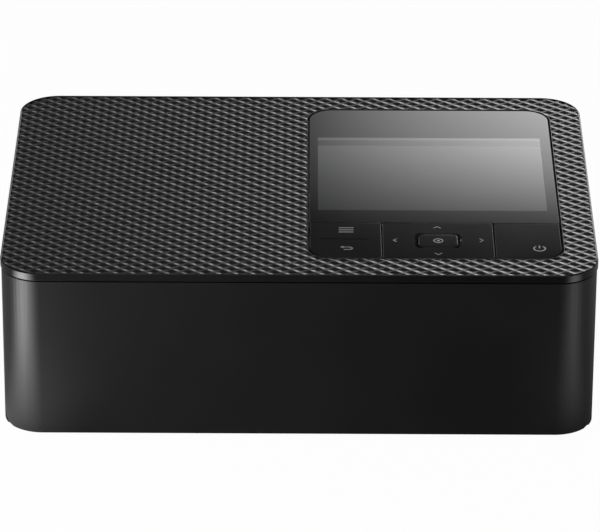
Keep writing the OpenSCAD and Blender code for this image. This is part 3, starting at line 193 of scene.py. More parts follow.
# %% [markdown]
# ## The plastics
# The case is black ABS. Its walls carry a fine spark-eroded grain that scatters light, the band
# round the lid is polished, and the keys lie between the two. The same resin can do all of this,
# so the materials share one recipe: a nearly black colour with a slight drift, a roughness that
# wanders a little where hands touch, and a grain of the right size as relief.

# %% Plastics
DRIFT_MM = 18.0


def moulded_plastic(name, dark, light, rough, grain_mm, depth_mm, specular=0.5, **constants):
    """Injection-moulded plastic: slow drift of colour and gloss, fine grain as relief."""
    material, tree, shader = new_material(name, Specular_IOR_Level=specular, **constants)
    drift = grains(tree, DRIFT_MM, 3.0)
    grain = grains(tree, grain_mm)
    touched = add_node(tree, "ShaderNodeMath", {0: grain, 1: drift}, operation="MULTIPLY")
    colours = [(0.3, dark), (0.7, light)]
    dress(tree, shader, drift, colours, grain, depth_mm, touched, (rough - 0.02, rough + 0.06))
    return material


# Spark-eroded walls: broad, soft highlights down the corners.
satin_abs = moulded_plastic("satin_black_abs", "#070707", "#090909", 0.36, 0.35, 0.004, 0.45)
# The polished band: a dark mirror with narrow highlights.
polished_abs = moulded_plastic("polished_black_abs", "#040404", "#060606", 0.17, 0.6, 0.0004, 0.42)
# The embossed lid: half polished, so that each ridge draws a short light line. Its colour is a
# shade lighter than the walls' as painted light, for the light its slopes gather.
embossed_abs = moulded_plastic("embossed_black_abs", "#151515", "#181818", 0.31, 0.3, 0.002)
# The keys: an even dark grey from everywhere, because little of it is mirrored light. The grey is
# painted light: lighter than the black case, it stands in for the sheen of the keys' own gloss.
key_abs = moulded_plastic("fine_satin_key_abs", "#272727", "#292929", 0.06, 0.28, 0.0005, 0.08)
# Frames and covers that are seldom seen: dull and nearly black.
frame_abs = moulded_plastic("dark_grey_abs_blend", "#0e0e0f", "#121213", 0.45, 0.5, 0.006, 0.4)
# Inner mouldings: dull dark grey.
inner_abs = moulded_plastic("grey_inner_abs", "#1b1c1d", "#222325", 0.48, 0.6, 0.010, 0.4)
# The ink cassette: pale grey with a soft gloss.
cassette_abs = moulded_plastic("light_grey_polystyrene", "#b9b8b2", "#c5c4bf", 0.38, 0.5, 0.008)
# Gears: milky white that lets a little light through.
acetal = moulded_plastic(
    "natural_acetal", "#dcd8cb", "#e6e2d6", 0.34, 0.4, 0.004, Subsurface_Weight=0.05,
)
print("case plastics:", satin_abs.name, polished_abs.name, embossed_abs.name, key_abs.name)

# %% [markdown]
# ## The window and its picture area
# The display window is one sheet of clear acrylic, printed black from behind round the picture.
# Where the print ends, the display shines through as a lighter grey, partly its own colour and
# partly painted reflection. Clear glass over real layers would need many light bounces, so two opaque
# materials with the same polish stand for them: one for the printed margin and one for the picture
# area. The picture area's colour brightens towards the back as painted reflection, and near its back
# edge a dark painted band is followed by a pale painted line of reflection, placed by the distance
# from the front.

# %% Window
WAVE_MM, WAVE_DEPTH_MM = 30.0, 0.004
PRINT_BLACKS = [(0.35, "#0e0e0f"), (0.65, "#121213")]
# The display's own dark grey with painted reflection: lighter towards the back, then a dark painted
# band and a pale painted line of reflection at the back edge.
PICTURE_GREY_AND_PAINTED_REFLECTION = [
    (0.0, "#343537"), (0.45, "#424345"), (0.88, "#606163"), (0.892, "#19191a"),
    (0.955, "#19191a"), (0.972, "#6a6b6d"), (0.995, "#5a5b5d"),
]


def window_margin():
    """Acrylic printed black from behind. A coating against glare lowers its IOR from 1.49."""
    material, tree, shader = new_material("black_backed_acrylic", Roughness=0.035, IOR=1.44)
    dress(tree, shader, grains(tree, 22.0), PRINT_BLACKS, grains(tree, WAVE_MM, 1.0), WAVE_DEPTH_MM)
    return material


def window_picture(front_y, back_y):
    """Acrylic over the display that is switched off. Two polished faces lie behind each other here
    and mirror more than one does, which the higher IOR stands for. Its colour holds painted
    reflection: lighter towards the back, with a dark band and a pale line near the back edge."""
    material, tree, shader = new_material("acrylic_over_display", Roughness=0.05, IOR=1.76)
    share = way_back(tree, front_y, back_y)
    dress(tree, shader, share, PICTURE_GREY_AND_PAINTED_REFLECTION, grains(tree, WAVE_MM, 1.0), WAVE_DEPTH_MM)
    return material


margin_acrylic = window_margin()
print("window margin:", margin_acrylic.name)

# %% [markdown]
# ## Metals
# Inside the printer the metal parts are plain stock, and each keeps the mark of how it was made:
# rolled steel has streaks along the sheet, ground shafts have rings, sintered bronze is speckled and
# extruded aluminium has fine lines along its length. Streaks are noise that is stretched along one
# axis, and they steer both colour and roughness.

# %% Metals
def metal(name, dark, light, rough, streak_mm, stretch, depth_mm=0.002):
    """Bare metal with streaks of the tool or the roll along the long direction of stretch."""
    material, tree, shader = new_material(name, Metallic=1.0)
    streaks = grains(tree, streak_mm, 3.0, stretch)
    colours = [(0.3, dark), (0.7, light)]
    dress(tree, shader, streaks, colours, streaks, depth_mm, streaks, (rough - 0.06, rough + 0.1))
    return material


rolled_steel = metal("zinc_plated_sheet_steel", "#a5a8ab", "#bfc2c4", 0.34, 0.5, (1, 14, 1))
turned_steel = metal("ground_steel_shaft", "#b4b6b8", "#cdcfd0", 0.18, 0.3, (1, 8, 8), 0.001)
bronze = metal("sintered_bronze", "#8f6b34", "#a9823f", 0.45, 0.25, (1, 1, 1), 0.01)
aluminium = metal("extruded_aluminium", "#b9bbbd", "#cfd1d2", 0.38, 0.25, (20, 1, 1), 0.004)
print("metals:", rolled_steel.name, turned_steel.name, bronze.name, aluminium.name)

# %% [markdown]
# ## Rubber and circuit board
# Moulded rubber is dull, with a little dust in its pores. A circuit board shows its copper tracks as
# a lighter green through the lacquer. Drawing each track would be work that nobody sees in the dark
# of the case, so a cell pattern with square distances stands for tracks and pads.

# %% Rubber and circuit board
CELL_MM = 2.4
DUST_COLOURS = [(0.35, "#151515"), (0.75, "#232322")]
TRACK_COLOURS = [(0.28, "#1d6a3c"), (0.34, "#0f4526"), (0.60, "#0f4526"), (0.66, "#185a33")]


def rubber():
    """Dull black rubber with a fine, slightly dusty grain."""
    material, tree, shader = new_material("black_nitrile_rubber", Specular_IOR_Level=0.3)
    grain = grains(tree, 0.25, 4.0)
    dress(tree, shader, grains(tree, 6.0, 3.0), DUST_COLOURS, grain, 0.02, grain, (0.62, 0.85))
    return material


def circuit_board():
    """Green lacquer over copper tracks: square cells, some filled, seen as a lighter green."""
    material, tree, shader = new_material("green_lacquered_board", Specular_IOR_Level=0.5)
    place = add_node(tree, "ShaderNodeTexCoord").outputs["Object"]
    cells = add_node(tree, "ShaderNodeTexVoronoi", {
        "Vector": place, "Scale": 1 / (CELL_MM * MM), "Randomness": 0.85,
    }, feature="F1", distance="MANHATTAN").outputs["Distance"]
    dress(tree, shader, cells, TRACK_COLOURS, cells, 0.02, grains(tree, 3.0), (0.22, 0.38))
    return material


black_rubber = rubber()
green_board = circuit_board()
print("made", black_rubber.name, "and", green_board.name)

# %% [markdown]
# ## Films, ceramic and ink
# The dye ribbon carries panels of yellow, magenta and cyan in turn along its web, so its colour
# follows the way from front to back. The other thin things are even in colour: the amber carrier of
# a flat cable, the glaze of the print head, and the inks on the keys. They share one recipe.

# %% Films, ceramic and ink
RIBBON_FRONT, RIBBON_BACK = -4.0, 52.0
DYE_COLOURS = [
    (0.0, "#c9a61c"), (0.40, "#c9a61c"), (0.43, "#a02a63"), (0.72, "#a02a63"), (0.75, "#1d6d96"),
]


def ribbon_film():
    """Dye ribbon: panels of yellow, magenta and cyan, with faint creases across the web."""
    material, tree, shader = new_material("dye_ribbon_film", Specular_IOR_Level=0.6, Coat_Weight=0.3)
    share = way_back(tree, RIBBON_FRONT, RIBBON_BACK)
    creases = grains(tree, 5.0, 2.0, (1, 6, 6))
    dress(tree, shader, share, DYE_COLOURS, creases, 0.05, grains(tree, 8.0), (0.12, 0.24))
    return material


def plain_film(name, dark, light, rough, specular=0.55):
    """Thin film, glaze or ink: even colour with a slow cloud in it; also the painted shade of a groove.
    """
    material, tree, shader = new_material(name, Specular_IOR_Level=specular)
    cloud = grains(tree, 4.0, 3.0)
    colours = [(0.3, dark), (0.7, light)]
    dress(tree, shader, cloud, colours, grains(tree, 0.5), 0.003, cloud, (rough - 0.04, rough + 0.06))
    return material


dye_ribbon = ribbon_film()
amber_film = plain_film("amber_polyimide_film", "#a8691a", "#bd7a22", 0.28)
head_ceramic = plain_film("glazed_alumina", "#d9d6cf", "#e4e1da", 0.22)
icon_ink = plain_film("light_grey_key_ink", "#9a9b9c", "#a6a7a8", 0.45)
# Painted shade: a dull, nearly black strip stands for the shade in the groove of the left key.
groove_painted_shade = plain_film("painted_groove_shade", "#020202", "#030303", 0.9, 0.0)
print("films and inks:", dye_ribbon.name, amber_film.name, head_ceramic.name, icon_ink.name)

# %% [markdown]
# ## Dressing the CAD nodes
# Most inner parts already have their final shape, so they keep it and only get a material. The
# table goes from a finish to the nodes that are made of it. A node that is replaced further down
# still gets one, so that nothing is ever left plain.

# %% Materials for the CAD nodes
FINISHES = {
    satin_abs: ["body_shell", "front_door", "ink_door"],
    polished_abs: ["lid_shell"],
    key_abs: ["left_key", "direction_pad", "ok_button", "power_key"],
    frame_abs: ["panel_frame", "front_bezel", "bottom_cover", "release_lever", "lcd_module"],
    inner_abs: [
        "cassette_bay", "middle_guide", "rear_guide", "ink_bay_guide", "pad_gimbal", "power_inlet",
    ],
    cassette_abs: ["ink_cassette_shell"],
    acetal: [
        "pickup_gear", "feed_gear", "motor_pinion", "big_idler", "takeup_idler", "relay_idler",
        "takeup_gear", "supply_brake", "pinch_bearings", "head_cam",
    ],
    rolled_steel: [
        "base_plate", "side_plate_left", "side_plate_right", "lift_plate", "motor_bracket",
        "head_arm", "card_socket", "feed_motor",
    ],
    turned_steel: [
        "case_screws", "front_door_pins", "ink_door_pins", "pickup_shaft", "feed_roller",
        "platen_shaft", "gear_posts", "pinch_springs",
    ],
    bronze: ["roller_bushes"],
    aluminium: ["heat_sink"],
    black_rubber: ["rubber_feet", "pickup_tyres", "pinch_roller", "platen_rubber"],
    green_board: ["key_board", "main_board"],
    dye_ribbon: ["ribbon_web", "supply_spool", "takeup_spool"],
    amber_film: ["display_flex"],
    head_ceramic: ["thermal_head"],
    margin_acrylic: ["display_window"],
}
for finish, nodes in FINISHES.items():
    for node in nodes:
        data = frame["nodes"][node].data
        data.materials.clear()
        data.materials.append(finish)
missing = set(frame["nodes"]) - {node for nodes in FINISHES.values() for node in nodes}
print("nodes without a finish:", sorted(missing))

# %% [markdown]
# ## Outlines
# Keys, window and lid are all flat shapes with rounded corners in plan and a soft upper edge. It
# pays to write that once. An outline is a closed row of points. To draw it in by some distance,
# each point moves along the mitre of its two edges, which keeps every edge parallel.

# %% Outline helpers
def arc(centre, radius, start, end, steps=10):
    """centre + radius * (cos t, sin t), where t runs evenly from start to end degrees."""
    turn = np.radians(np.linspace(start, end, steps + 1))
    return np.array(centre) + radius * np.column_stack([np.cos(turn), np.sin(turn)])


def rounded_outline(left, right, front, back, front_r, back_r, steps=12):
    """A rectangle with quarter circles at its corners, as (x, y) points that run anticlockwise."""
    return np.vstack([
        arc((right - back_r, back - back_r), back_r, 0, 90, steps),
        arc((left + back_r, back - back_r), back_r, 90, 180, steps),
        arc((left + front_r, front + front_r), front_r, 180, 270, steps),
        arc((right - front_r, front + front_r), front_r, 270, 360, steps),
    ])


def circle(centre, radius, steps=32):
    """A circle as an outline, without its last point, which is its first again."""
    return arc(centre, radius, 0, 360, steps)[:-1]


def mitres(outline):
    """(n1 + n2) / (1 + n1.n2) for the outward normals of the two edges that meet at each point."""
    edge = np.roll(outline, -1, axis=0) - outline
    normal = np.column_stack([edge[:, 1], -edge[:, 0]]) / np.linalg.norm(edge, axis=1)[:, None]
    before = np.roll(normal, 1, axis=0)
    return (before + normal) / (1 + (before * normal).sum(axis=1))[:, None]


print("mitre of a unit square's first corner:", mitres(np.array([[1, 1], [0, 1], [0, 0], [1, 0]]))[0])

# %% [markdown]
# ## Plates
# A plate is an outline carried up through a few rings, the last ones bending inward to make the
# soft edge. A Bevel modifier could do that too, but rings that are worked out stay even where the
# outline bends. The same rings carry a profile round an outline, which makes bands and rims.

# %% Plates
def ring_faces(first, second, count):
    """Quads between two closed rings of count points that start at the given indices."""
    here = np.arange(count)
    after = (here + 1) % count
    return np.column_stack([first + here, first + after, second + after, second + here])


def fill(points, indices, up):
    """Triangles over the region between closed loops, turned to face up or down."""
    loops = [[Vector((x, y, 0)) for x, y in loop] for loop in points]
    flat = np.vstack(points)
    faces = np.array(tessellate_polygon(loops))
    a, b, c = flat[faces[:, 0]], flat[faces[:, 1]], flat[faces[:, 2]]
    area = (b[:, 0] - a[:, 0]) * (c[:, 1] - a[:, 1]) - (b[:, 1] - a[:, 1]) * (c[:, 0] - a[:, 0])
    faces[(area > 0) != up] = faces[(area > 0) != up][:, ::-1]
    return np.concatenate(indices)[faces]


def plate(loops, low, high, fillet=0.0, steps=3):
    """Vertices and faces of a plate with soft upper edges.

    Each loop is carried up in rings: one at height low, then, for an angle t from 0 to 90 degrees,
    rings at height high - fillet * (1 - sin t), drawn in by fillet * (1 - cos t). Holes run
    clockwise, so the same rule widens them. Triangles close the top and the bottom."""
    turn = np.radians(np.linspace(0, 90, steps + 1)) if fillet else np.array([np.pi / 2])
    inset = np.concatenate([[0], fillet * (1 - np.cos(turn)) if fillet else [0]])
    height = np.concatenate([[low], high - fillet * (1 - np.sin(turn))])
    vertices, faces, start, first, last = [], [], 0, [], []
    for loop in loops:
        move = mitres(loop)
        count = len(loop)
        rings = [np.column_stack([loop - i * move, np.full(count, z)]) for i, z in zip(inset, height)]
        vertices += rings
        for k in range(len(rings) - 1):
            faces += ring_faces(start + k * count, start + (k + 1) * count, count).tolist()
        first.append((rings[0][:, :2], start + np.arange(count)))
        last.append((rings[-1][:, :2], start + (len(rings) - 1) * count + np.arange(count)))
        start += len(rings) * count
    for ends, up in ((last, True), (first, False)):
        faces += fill([points for points, _ in ends], [indices for _, indices in ends], up).tolist()
    return np.vstack(vertices), faces


def sweep(outline, profile):
    """A closed profile of (outward, height) points carried along an outline on its mitres."""
    move = mitres(outline)
    count = len(outline)
    rings = [np.column_stack([outline + out * move, np.full(count, z)]) for out, z in profile]
    faces = []
    for k in range(len(profile)):
        faces += ring_faces(k * count, (k + 1) % len(profile) * count, count).tolist()
    return np.vstack(rings), faces


def joined(*shapes):
    """Several (vertices, faces) shapes as one."""
    vertices, faces, start = [], [], 0
    for points, quads in shapes:
        vertices.append(points)
        faces += [[start + i for i in face] for face in quads]
        start += len(points)
    return np.vstack(vertices), faces


print("faces of a round plate:", len(plate([circle((0, 0), 1.0)], 0.0, 1.0, 0.2)[1]))

# %% [markdown]
# ## From arrays to pieces
# One function turns vertices and faces into a mesh object, shades it softly and lets it ride on a
# body of the frame. The lid's and the window's corners are read from the CAD nodes, so the new
# pieces fit them without any measuring by hand.

# %% Pieces
def make_piece(name, shape, material, body, smooth=40, weighted=True):
    """Makes a mesh object from (vertices in mm, faces), soft-shaded below the angle smooth."""
    vertices, faces = shape
    mesh = bpy.data.meshes.new(name)
    mesh.from_pydata(vertices * MM, [], [list(map(int, face)) for face in faces])
    mesh.materials.append(material)
    mesh.shade_smooth()
    mesh.set_sharp_from_angle(angle=math.radians(smooth))
    mesh.update()
    piece = bpy.data.objects.new(name, mesh)
    bpy.context.scene.collection.objects.link(piece)
    if weighted:
        piece.modifiers.new("even_shading", "WEIGHTED_NORMAL").keep_sharp = True
    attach(piece, body)
    return piece


def box_mm(node):
    """A CAD node's lowest and highest corner in millimetres."""
    low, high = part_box(node)
    return np.array(low) / MM, np.array(high) / MM


lid_low, lid_high = box_mm("lid_shell")
window_low, window_high = box_mm("display_window")
print("lid", lid_low.round(2), lid_high.round(2))

# %% [markdown]
# ## The lid's edge
# Round the lid runs a polished band whose rounded upper edge catches the light, and behind it a
# skirt that locates the lid inside the walls. Both follow the same rounded rectangle, so one
# profile carried round the outline makes them, with small fillets where light should catch.

# %% Lid band
CORNER_R = 12.5
BAND_H, LID_T = 2.6, 2.0
RIM_W, RIM_BEVEL = 0.5, 0.1
SKIN_T = 0.9
SKIRT_IN, SKIRT_T, SKIRT_DROP, SKIRT_LAP = 2.8, 1.2, 4.0, 0.2
BAND_FOOT_R, BAND_TOP_R = 0.2, 0.35
top_z = lid_high[2]
skin_z = top_z - SKIN_T
base_z = top_z - BAND_H
under_z = top_z - LID_T
skirt_low_z = base_z - SKIRT_DROP
skirt_back = -SKIRT_IN - SKIRT_T
lid_outline = rounded_outline(lid_low[0], lid_high[0], lid_low[1], lid_high[1], CORNER_R, CORNER_R, 20)


def fillet_points(centre_out, centre_z, radius, start, end, steps=4):
    """Points of a small round in the (outward, height) plane."""
    return [tuple(p) for p in arc((centre_out, centre_z), radius, start, end, steps)]


band_profile = [
    (skirt_back, under_z - SKIRT_LAP), (skirt_back, skirt_low_z),
    (-SKIRT_IN, skirt_low_z), (-SKIRT_IN, base_z),
    *fillet_points(-BAND_FOOT_R, base_z + BAND_FOOT_R, BAND_FOOT_R, -90, 0),
    *fillet_points(-BAND_TOP_R, top_z - BAND_TOP_R, BAND_TOP_R, 0, 90),
    (-RIM_W + RIM_BEVEL, top_z), (-RIM_W, top_z - RIM_BEVEL), (-RIM_W, skin_z), (skirt_back, skin_z),
]
lid_band = make_piece("lid_band", sweep(lid_outline, band_profile), polished_abs, "chassis")
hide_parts("lid_shell")
print("band profile:", len(band_profile), "points")

# %% [markdown]
# ## The embossed top
# The lid's top is covered with small pits on a diamond lattice: shallow upside-down pyramids
# whose ridges cross at a slant. A bump map would do from far away, but the pits are 5 mm long, so
# they are real geometry here, as a height that depends on x and y alone. The falling ridges are
# blunter than the rising ones, so that each of them holds a short light line.

# %% Pattern of the pits
PIT_X, PIT_Y = 2.6, 2.13
PIT_DEPTH = 0.45
PIT_ORIGIN = np.array([0.2, 1.07])
PIT_FLOOR = 0.08
BLUNT_RIDGE = (1.2, 0.76)
KEEN_RIDGE = (1.06, 0.9)


def ridge(share, slope, shoulder):
    """min(slope * s, shoulder + (1 - shoulder) * s): a slope that flattens near its ridge."""
    return np.minimum(slope * share, shoulder + (1 - shoulder) * share)


def pit_height(points):
    """-depth * (1 - g): g grows from a flat floor in a pit's middle to 1 on its ridges.

    With u = x / PIT_X and v = y / PIT_Y, the falling ridges are the lines where (u + v) / 2 is a
    whole number and a half, and the rising ones those where (u - v) / 2 is. Twice the distance from
    the nearest whole number is a straight slope up to them, and the larger slope is the surface."""
    u, v = ((points - PIT_ORIGIN) / (PIT_X, PIT_Y)).T
    p, q = (u + v) / 2, (u - v) / 2
    falling, rising = 2 * np.abs(p - np.round(p)), 2 * np.abs(q - np.round(q))
    slopes = np.maximum(ridge(falling, *BLUNT_RIDGE), ridge(rising, *KEEN_RIDGE))
    return -PIT_DEPTH * (1 - np.maximum(slopes, PIT_FLOOR))


def signed_distance(points, left, right, front, back, front_r, back_r):
    """Distance outside a rounded rectangle, negative inside, and the direction that leads outward.

    With q the distance from the box of the corner centres, it is |max(q, 0)| - r at a corner and
    max(qx, qy) - r beside an edge."""
    middle = np.array([(left + right) / 2, (front + back) / 2])
    half = np.array([(right - left) / 2, (back - front) / 2])
    away = points - middle
    radius = np.where(away[:, 1] < 0, front_r, back_r)
    q = np.abs(away) - (half - radius[:, None])
    outer = np.maximum(q, 0)
    length = np.linalg.norm(outer, axis=1)
    corner = (q > 0).all(axis=1)
    distance = np.where(corner, length, q.max(axis=1)) - radius
    axis = np.where(q[:, :1] > q[:, 1:], [[1.0, 0.0]], [[0.0, 1.0]])
    direction = np.where(corner[:, None], outer / np.maximum(length, 1e-9)[:, None], axis)
    return distance, direction * np.where(away < 0, -1, 1)


print("depth of a pit's floor:", round(-pit_height(PIT_ORIGIN[None])[0], 3), "mm")

# %% [markdown]
# ## The sheet over the lid
# The mesh is a grid whose points fall on the lattice, and each square is split along the slant of
# its ridge, so that the ridges stay crisp with few triangles. The signed distance tells which
# points lie under the rim or in the panel's opening, and draws the ragged border to a smooth line.

# %% Embossed top
GRID_STEPS = 4
RIDGE_DROP = 0.12
PANEL_FRONT_R, PANEL_BACK_R = 6.5, 7.5
OPENING_GAP, OPENING_RIM = 0.3, 0.5
EDGE_TUCK, OPENING_TUCK = 0.3, 0.2
panel_low, _ = box_mm("left_key")
_, panel_high = box_mm("power_key")
panel_left, panel_right = panel_low[0], panel_high[0]
panel_front, panel_back = panel_low[1], window_high[1]
panel_edges = (panel_left, panel_right, panel_front, panel_back, PANEL_FRONT_R, PANEL_BACK_R)
lid_edges = (lid_low[0], lid_high[0], lid_low[1], lid_high[1], CORNER_R, CORNER_R)


def embossed_top():
    """The height field over the lid without the panel's opening. Its border is tucked under the
    rims: points further out than that move back along the distance's direction."""
    step = np.array([PIT_X, PIT_Y]) / GRID_STEPS
    low = np.floor((lid_low[:2] - PIT_ORIGIN) / step).astype(int)
    high = np.ceil((lid_high[:2] - PIT_ORIGIN) / step).astype(int)
    columns, rows = (np.arange(low[i], high[i] + 1) for i in (0, 1))
    ix, iy = np.meshgrid(columns, rows, indexing="ij")
    points = np.column_stack([ix.ravel(), iy.ravel()]) * step + PIT_ORIGIN
    edge, edge_dir = signed_distance(points, *lid_edges)
    gap, gap_dir = signed_distance(points, *panel_edges)
    shown = (edge < -RIM_W) & (gap > OPENING_GAP + OPENING_RIM)
    index = np.arange(len(points)).reshape(ix.shape)
    squares = np.stack([index[:-1, :-1], index[1:, :-1], index[1:, 1:], index[:-1, 1:]]).reshape(4, -1)
    a, b, c, d = squares[:, shown[squares].any(axis=0)]
    u, v = (((points[a] + points[c]) / 2 - PIT_ORIGIN) / (PIT_X, PIT_Y)).T
    slant = (np.floor(u) + np.floor(v)) % 2 == 0
    falling = np.column_stack([a, b, d, b, c, d]).reshape(-1, 3)
    rising = np.column_stack([a, b, c, a, c, d]).reshape(-1, 3)
    faces = np.where(np.repeat(slant, 2)[:, None], falling, rising)
    heights = top_z - RIDGE_DROP + pit_height(points)
    points = points - edge_dir * np.maximum(edge + RIM_W - EDGE_TUCK, 0)[:, None]
    points = points + gap_dir * np.maximum(OPENING_GAP + OPENING_RIM - OPENING_TUCK - gap, 0)[:, None]
    used, faces = np.unique(faces, return_inverse=True)
    return np.column_stack([points, heights])[used], faces.reshape(-1, 3)


emboss_shape = embossed_top()
lid_top = make_piece(
    "lid_embossed_top", emboss_shape, embossed_abs, "chassis", smooth=60, weighted=False,
)
print("embossed top:", len(emboss_shape[1]), "triangles")

# %% [markdown]
# ## The rest of the lid
# Under the embossed skin lies a plain plate with the opening for the control panel, a narrow flat
# rim round that opening, and four screw posts. They are mostly hidden, yet they show at the
# opening's edge and from inside when the front door is open.

# %% Lid plate, opening and posts
EDGE_ROOM = 0.5
OVERLAP = 0.1
POST_R, POST_DROP = 3.2, 1.0
POSTS_AT = ((-85.0, -48.5), (85.0, -48.5), (-83.6, 57.0), (83.6, 57.0))
WALL_OUT, WALL_DROP = 0.05, 0.5
FLAT_W, FLAT_DROP = 0.12, 0.08
FOOT_OUT = 1.5
opening = rounded_outline(
    panel_left - OPENING_GAP, panel_right + OPENING_GAP,
    panel_front - OPENING_GAP, panel_back + OPENING_GAP,
    PANEL_FRONT_R + OPENING_GAP, PANEL_BACK_R + OPENING_GAP,
)
inner_outline = rounded_outline(
    lid_low[0] + SKIRT_IN + EDGE_ROOM, lid_high[0] - SKIRT_IN - EDGE_ROOM,
    lid_low[1] + SKIRT_IN + EDGE_ROOM, lid_high[1] - SKIRT_IN - EDGE_ROOM,
    CORNER_R - SKIRT_IN, CORNER_R - SKIRT_IN,
)
# A steep wall beside the keys, a slope that turns its light away from the camera, a flat rim
opening_profile = [
    (WALL_OUT, under_z), (WALL_OUT, top_z - WALL_DROP), (OPENING_RIM - FLAT_W, top_z - FLAT_DROP),
    (OPENING_RIM, top_z - FLAT_DROP), (OPENING_RIM, skin_z), (FOOT_OUT, under_z),
]
lid_plate_shape = joined(
    plate([inner_outline, opening[::-1]], under_z, skin_z),
    sweep(opening, opening_profile[::-1]),
    *[plate([circle(place, POST_R)], skirt_low_z - POST_DROP, under_z + OVERLAP) for place in POSTS_AT],
)
lid_plate = make_piece("lid_plate", lid_plate_shape, embossed_abs, "chassis")
print("lid plate:", len(lid_plate_shape[1]), "faces,", len(POSTS_AT), "posts")

# %% [markdown]
# ## The display window
# The window is flush with the lid. It is a plate with the panel's two round back corners, and the
# picture area is a second, thinner plate that stands a few hundredths of a millimetre proud of it,
# because two faces at the same height would flicker through each other.

# %% Window pieces
WINDOW_FILLET, WINDOW_R = 0.1, 0.3
PICTURE = (5.75, 77.1, -20.25, 34.4)
PICTURE_T, PICTURE_PROUD = 0.2, 0.015
picture_acrylic = window_picture(PICTURE[2], PICTURE[3])
window_outline = rounded_outline(
    panel_left, panel_right, window_low[1], panel_back, WINDOW_R, PANEL_BACK_R,
)
window_piece = make_piece(
    "display_window_margin", plate([window_outline], window_low[2], window_high[2], WINDOW_FILLET),
    margin_acrylic, "chassis",
)
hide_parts("display_window")
picture_piece = make_piece(
    "display_window_picture",
    plate([rounded_outline(*PICTURE, WINDOW_R, WINDOW_R, 4)],
          window_high[2] - PICTURE_T, window_high[2] + PICTURE_PROUD),
    picture_acrylic, "chassis",
)
print("picture:", round(PICTURE[1] - PICTURE[0], 2), "x", round(PICTURE[3] - PICTURE[2], 2), "mm")

# %% [markdown]
# ## Key caps
# A moulded cap has crisp plan corners, a quarter-millimetre fillet on top and a stem that presses
# the switch below. The fillets make each split between two keys show as a dark line between two
# pale ones. Each cap takes its outline from its CAD node and rides on its own body, so it sinks or
# rocks with it.

# %% Left key and power key
PANEL_FILLET = 0.22
KEY_T, KEY_R = 2.0, 0.25
STEM_R = 1.2
SPLIT_IN = 0.1
DIVIDER_Y, ROCKER_STEM_OUT = -40.9, 6.5
key_top = window_high[2]
key_under = key_top - KEY_T
stem_top = key_under + 0.05


def cap(node, front_left_r, front_right_r):
    """Outline of a key: small plan radii, except where it meets the panel's own round corner."""
    low, high = box_mm(node)
    left, right, front, back = low[0] + SPLIT_IN, high[0] - SPLIT_IN, low[1], high[1]
    return np.vstack([
        arc((right - KEY_R, back - KEY_R), KEY_R, 0, 90, 3),
        arc((left + KEY_R, back - KEY_R), KEY_R, 90, 180, 3),
        arc((left + front_left_r, front + front_left_r), front_left_r, 180, 270, 12),
        arc((right - front_right_r, front + front_right_r), front_right_r, 270, 360, 12),
    ]), low, high


def stem(x, y, low, high):
    """Round stem between a cap and the switch under it."""
    return plate([circle((x, y), STEM_R, 20)], low, high)


left_outline, left_low, left_high = cap("left_key", PANEL_FRONT_R, KEY_R)
left_x = (left_low[0] + left_high[0]) / 2
left_shape = joined(
    plate([left_outline], key_under, key_top, PANEL_FILLET),
    *[stem(left_x, DIVIDER_Y + side * ROCKER_STEM_OUT, left_low[2], stem_top) for side in (-1, 1)],
)
left_piece = make_piece("left_key_cap", left_shape, key_abs, "left_key")
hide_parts("left_key")

right_outline, right_low, right_high = cap("power_key", KEY_R, PANEL_FRONT_R)
right_middle = (right_low[:2] + right_high[:2]) / 2
right_shape = joined(
    plate([right_outline], key_under, key_top, PANEL_FILLET),
    stem(*right_middle, right_low[2], stem_top),
)
right_piece = make_piece("power_key_cap", right_shape, key_abs, "power_key")
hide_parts("power_key")
print("left key:", len(left_shape[1]), "faces, power key:", len(right_shape[1]), "faces")

# %% [markdown]
# ## The four-way pad
# The pad has a dished recess round the confirm button. Its wall is a ruled surface between two
# rounded rectangles: the wide one at the top and one that just clears the button further down.

# %% Four-way pad and confirm button
BUTTON_R, BUTTON_T, BUTTON_FILLET = 2.0, 1.5, 0.45
NECK_HALF, NECK_R, NECK_UP = (2.5, 1.8), 0.2, 1.0
DISH = np.array([1.25, 0.65])
DISH_GAP, DISH_DEPTH, DISH_RINGS = 0.15, 0.95, 6
PAD_STEMS = ((-13.2, 0), (13.2, 0), (0, -9.3), (0, 9.3))
pad_outline, pad_low, pad_high = cap("direction_pad", KEY_R, KEY_R)
pad_mid = (pad_low[:2] + pad_high[:2]) / 2
button_low, button_high = box_mm("ok_button")
button_half = (button_high[:2] - button_low[:2]) / 2
button_top = button_high[2]
neck_z = button_low[2] + NECK_UP


def centred(half, radius, steps=8):
    """Anticlockwise rounded rectangle round the pad's middle."""
    (left, front), (right, back) = pad_mid - half, pad_mid + half
    return rounded_outline(left, right, front, back, radius, radius, steps)


def pad_with_dish():
    """The cap's outer rings as in plate, and a wall of rings blended from the wide outline to the
    narrow one: ring k lies the share t = k / n along the way, at a depth that grows as t^0.8."""
    wide = centred(button_half + DISH, BUTTON_R)[::-1]
    narrow = centred(button_half + DISH_GAP, BUTTON_R)[::-1]
    count, around = len(pad_outline), len(wide)
    wall = [
        np.column_stack([wide + (narrow - wide) * t, np.full(around, key_top - DISH_DEPTH * t ** 0.8)])
        for t in np.linspace(0, 1, DISH_RINGS)
    ]
    wall.append(np.column_stack([narrow, np.full(around, key_under)]))
    cap_vertices, cap_faces = plate([pad_outline], key_under, key_top, PANEL_FILLET)
    start = len(cap_vertices)
    last = start + (len(wall) - 1) * around
    faces = [face for face in cap_faces if len(face) == 4]
    for ring in range(start, last, around):
        faces += ring_faces(ring + around, ring, around).tolist()
    top = [cap_vertices[-count:, :2], wide]
    bottom = [cap_vertices[:count, :2], narrow]
    faces += fill(top, [start - count + np.arange(count), start + np.arange(around)], True).tolist()
    faces += fill(bottom, [np.arange(count), last + np.arange(around)], False).tolist()
    return np.vstack([cap_vertices, *wall]), faces


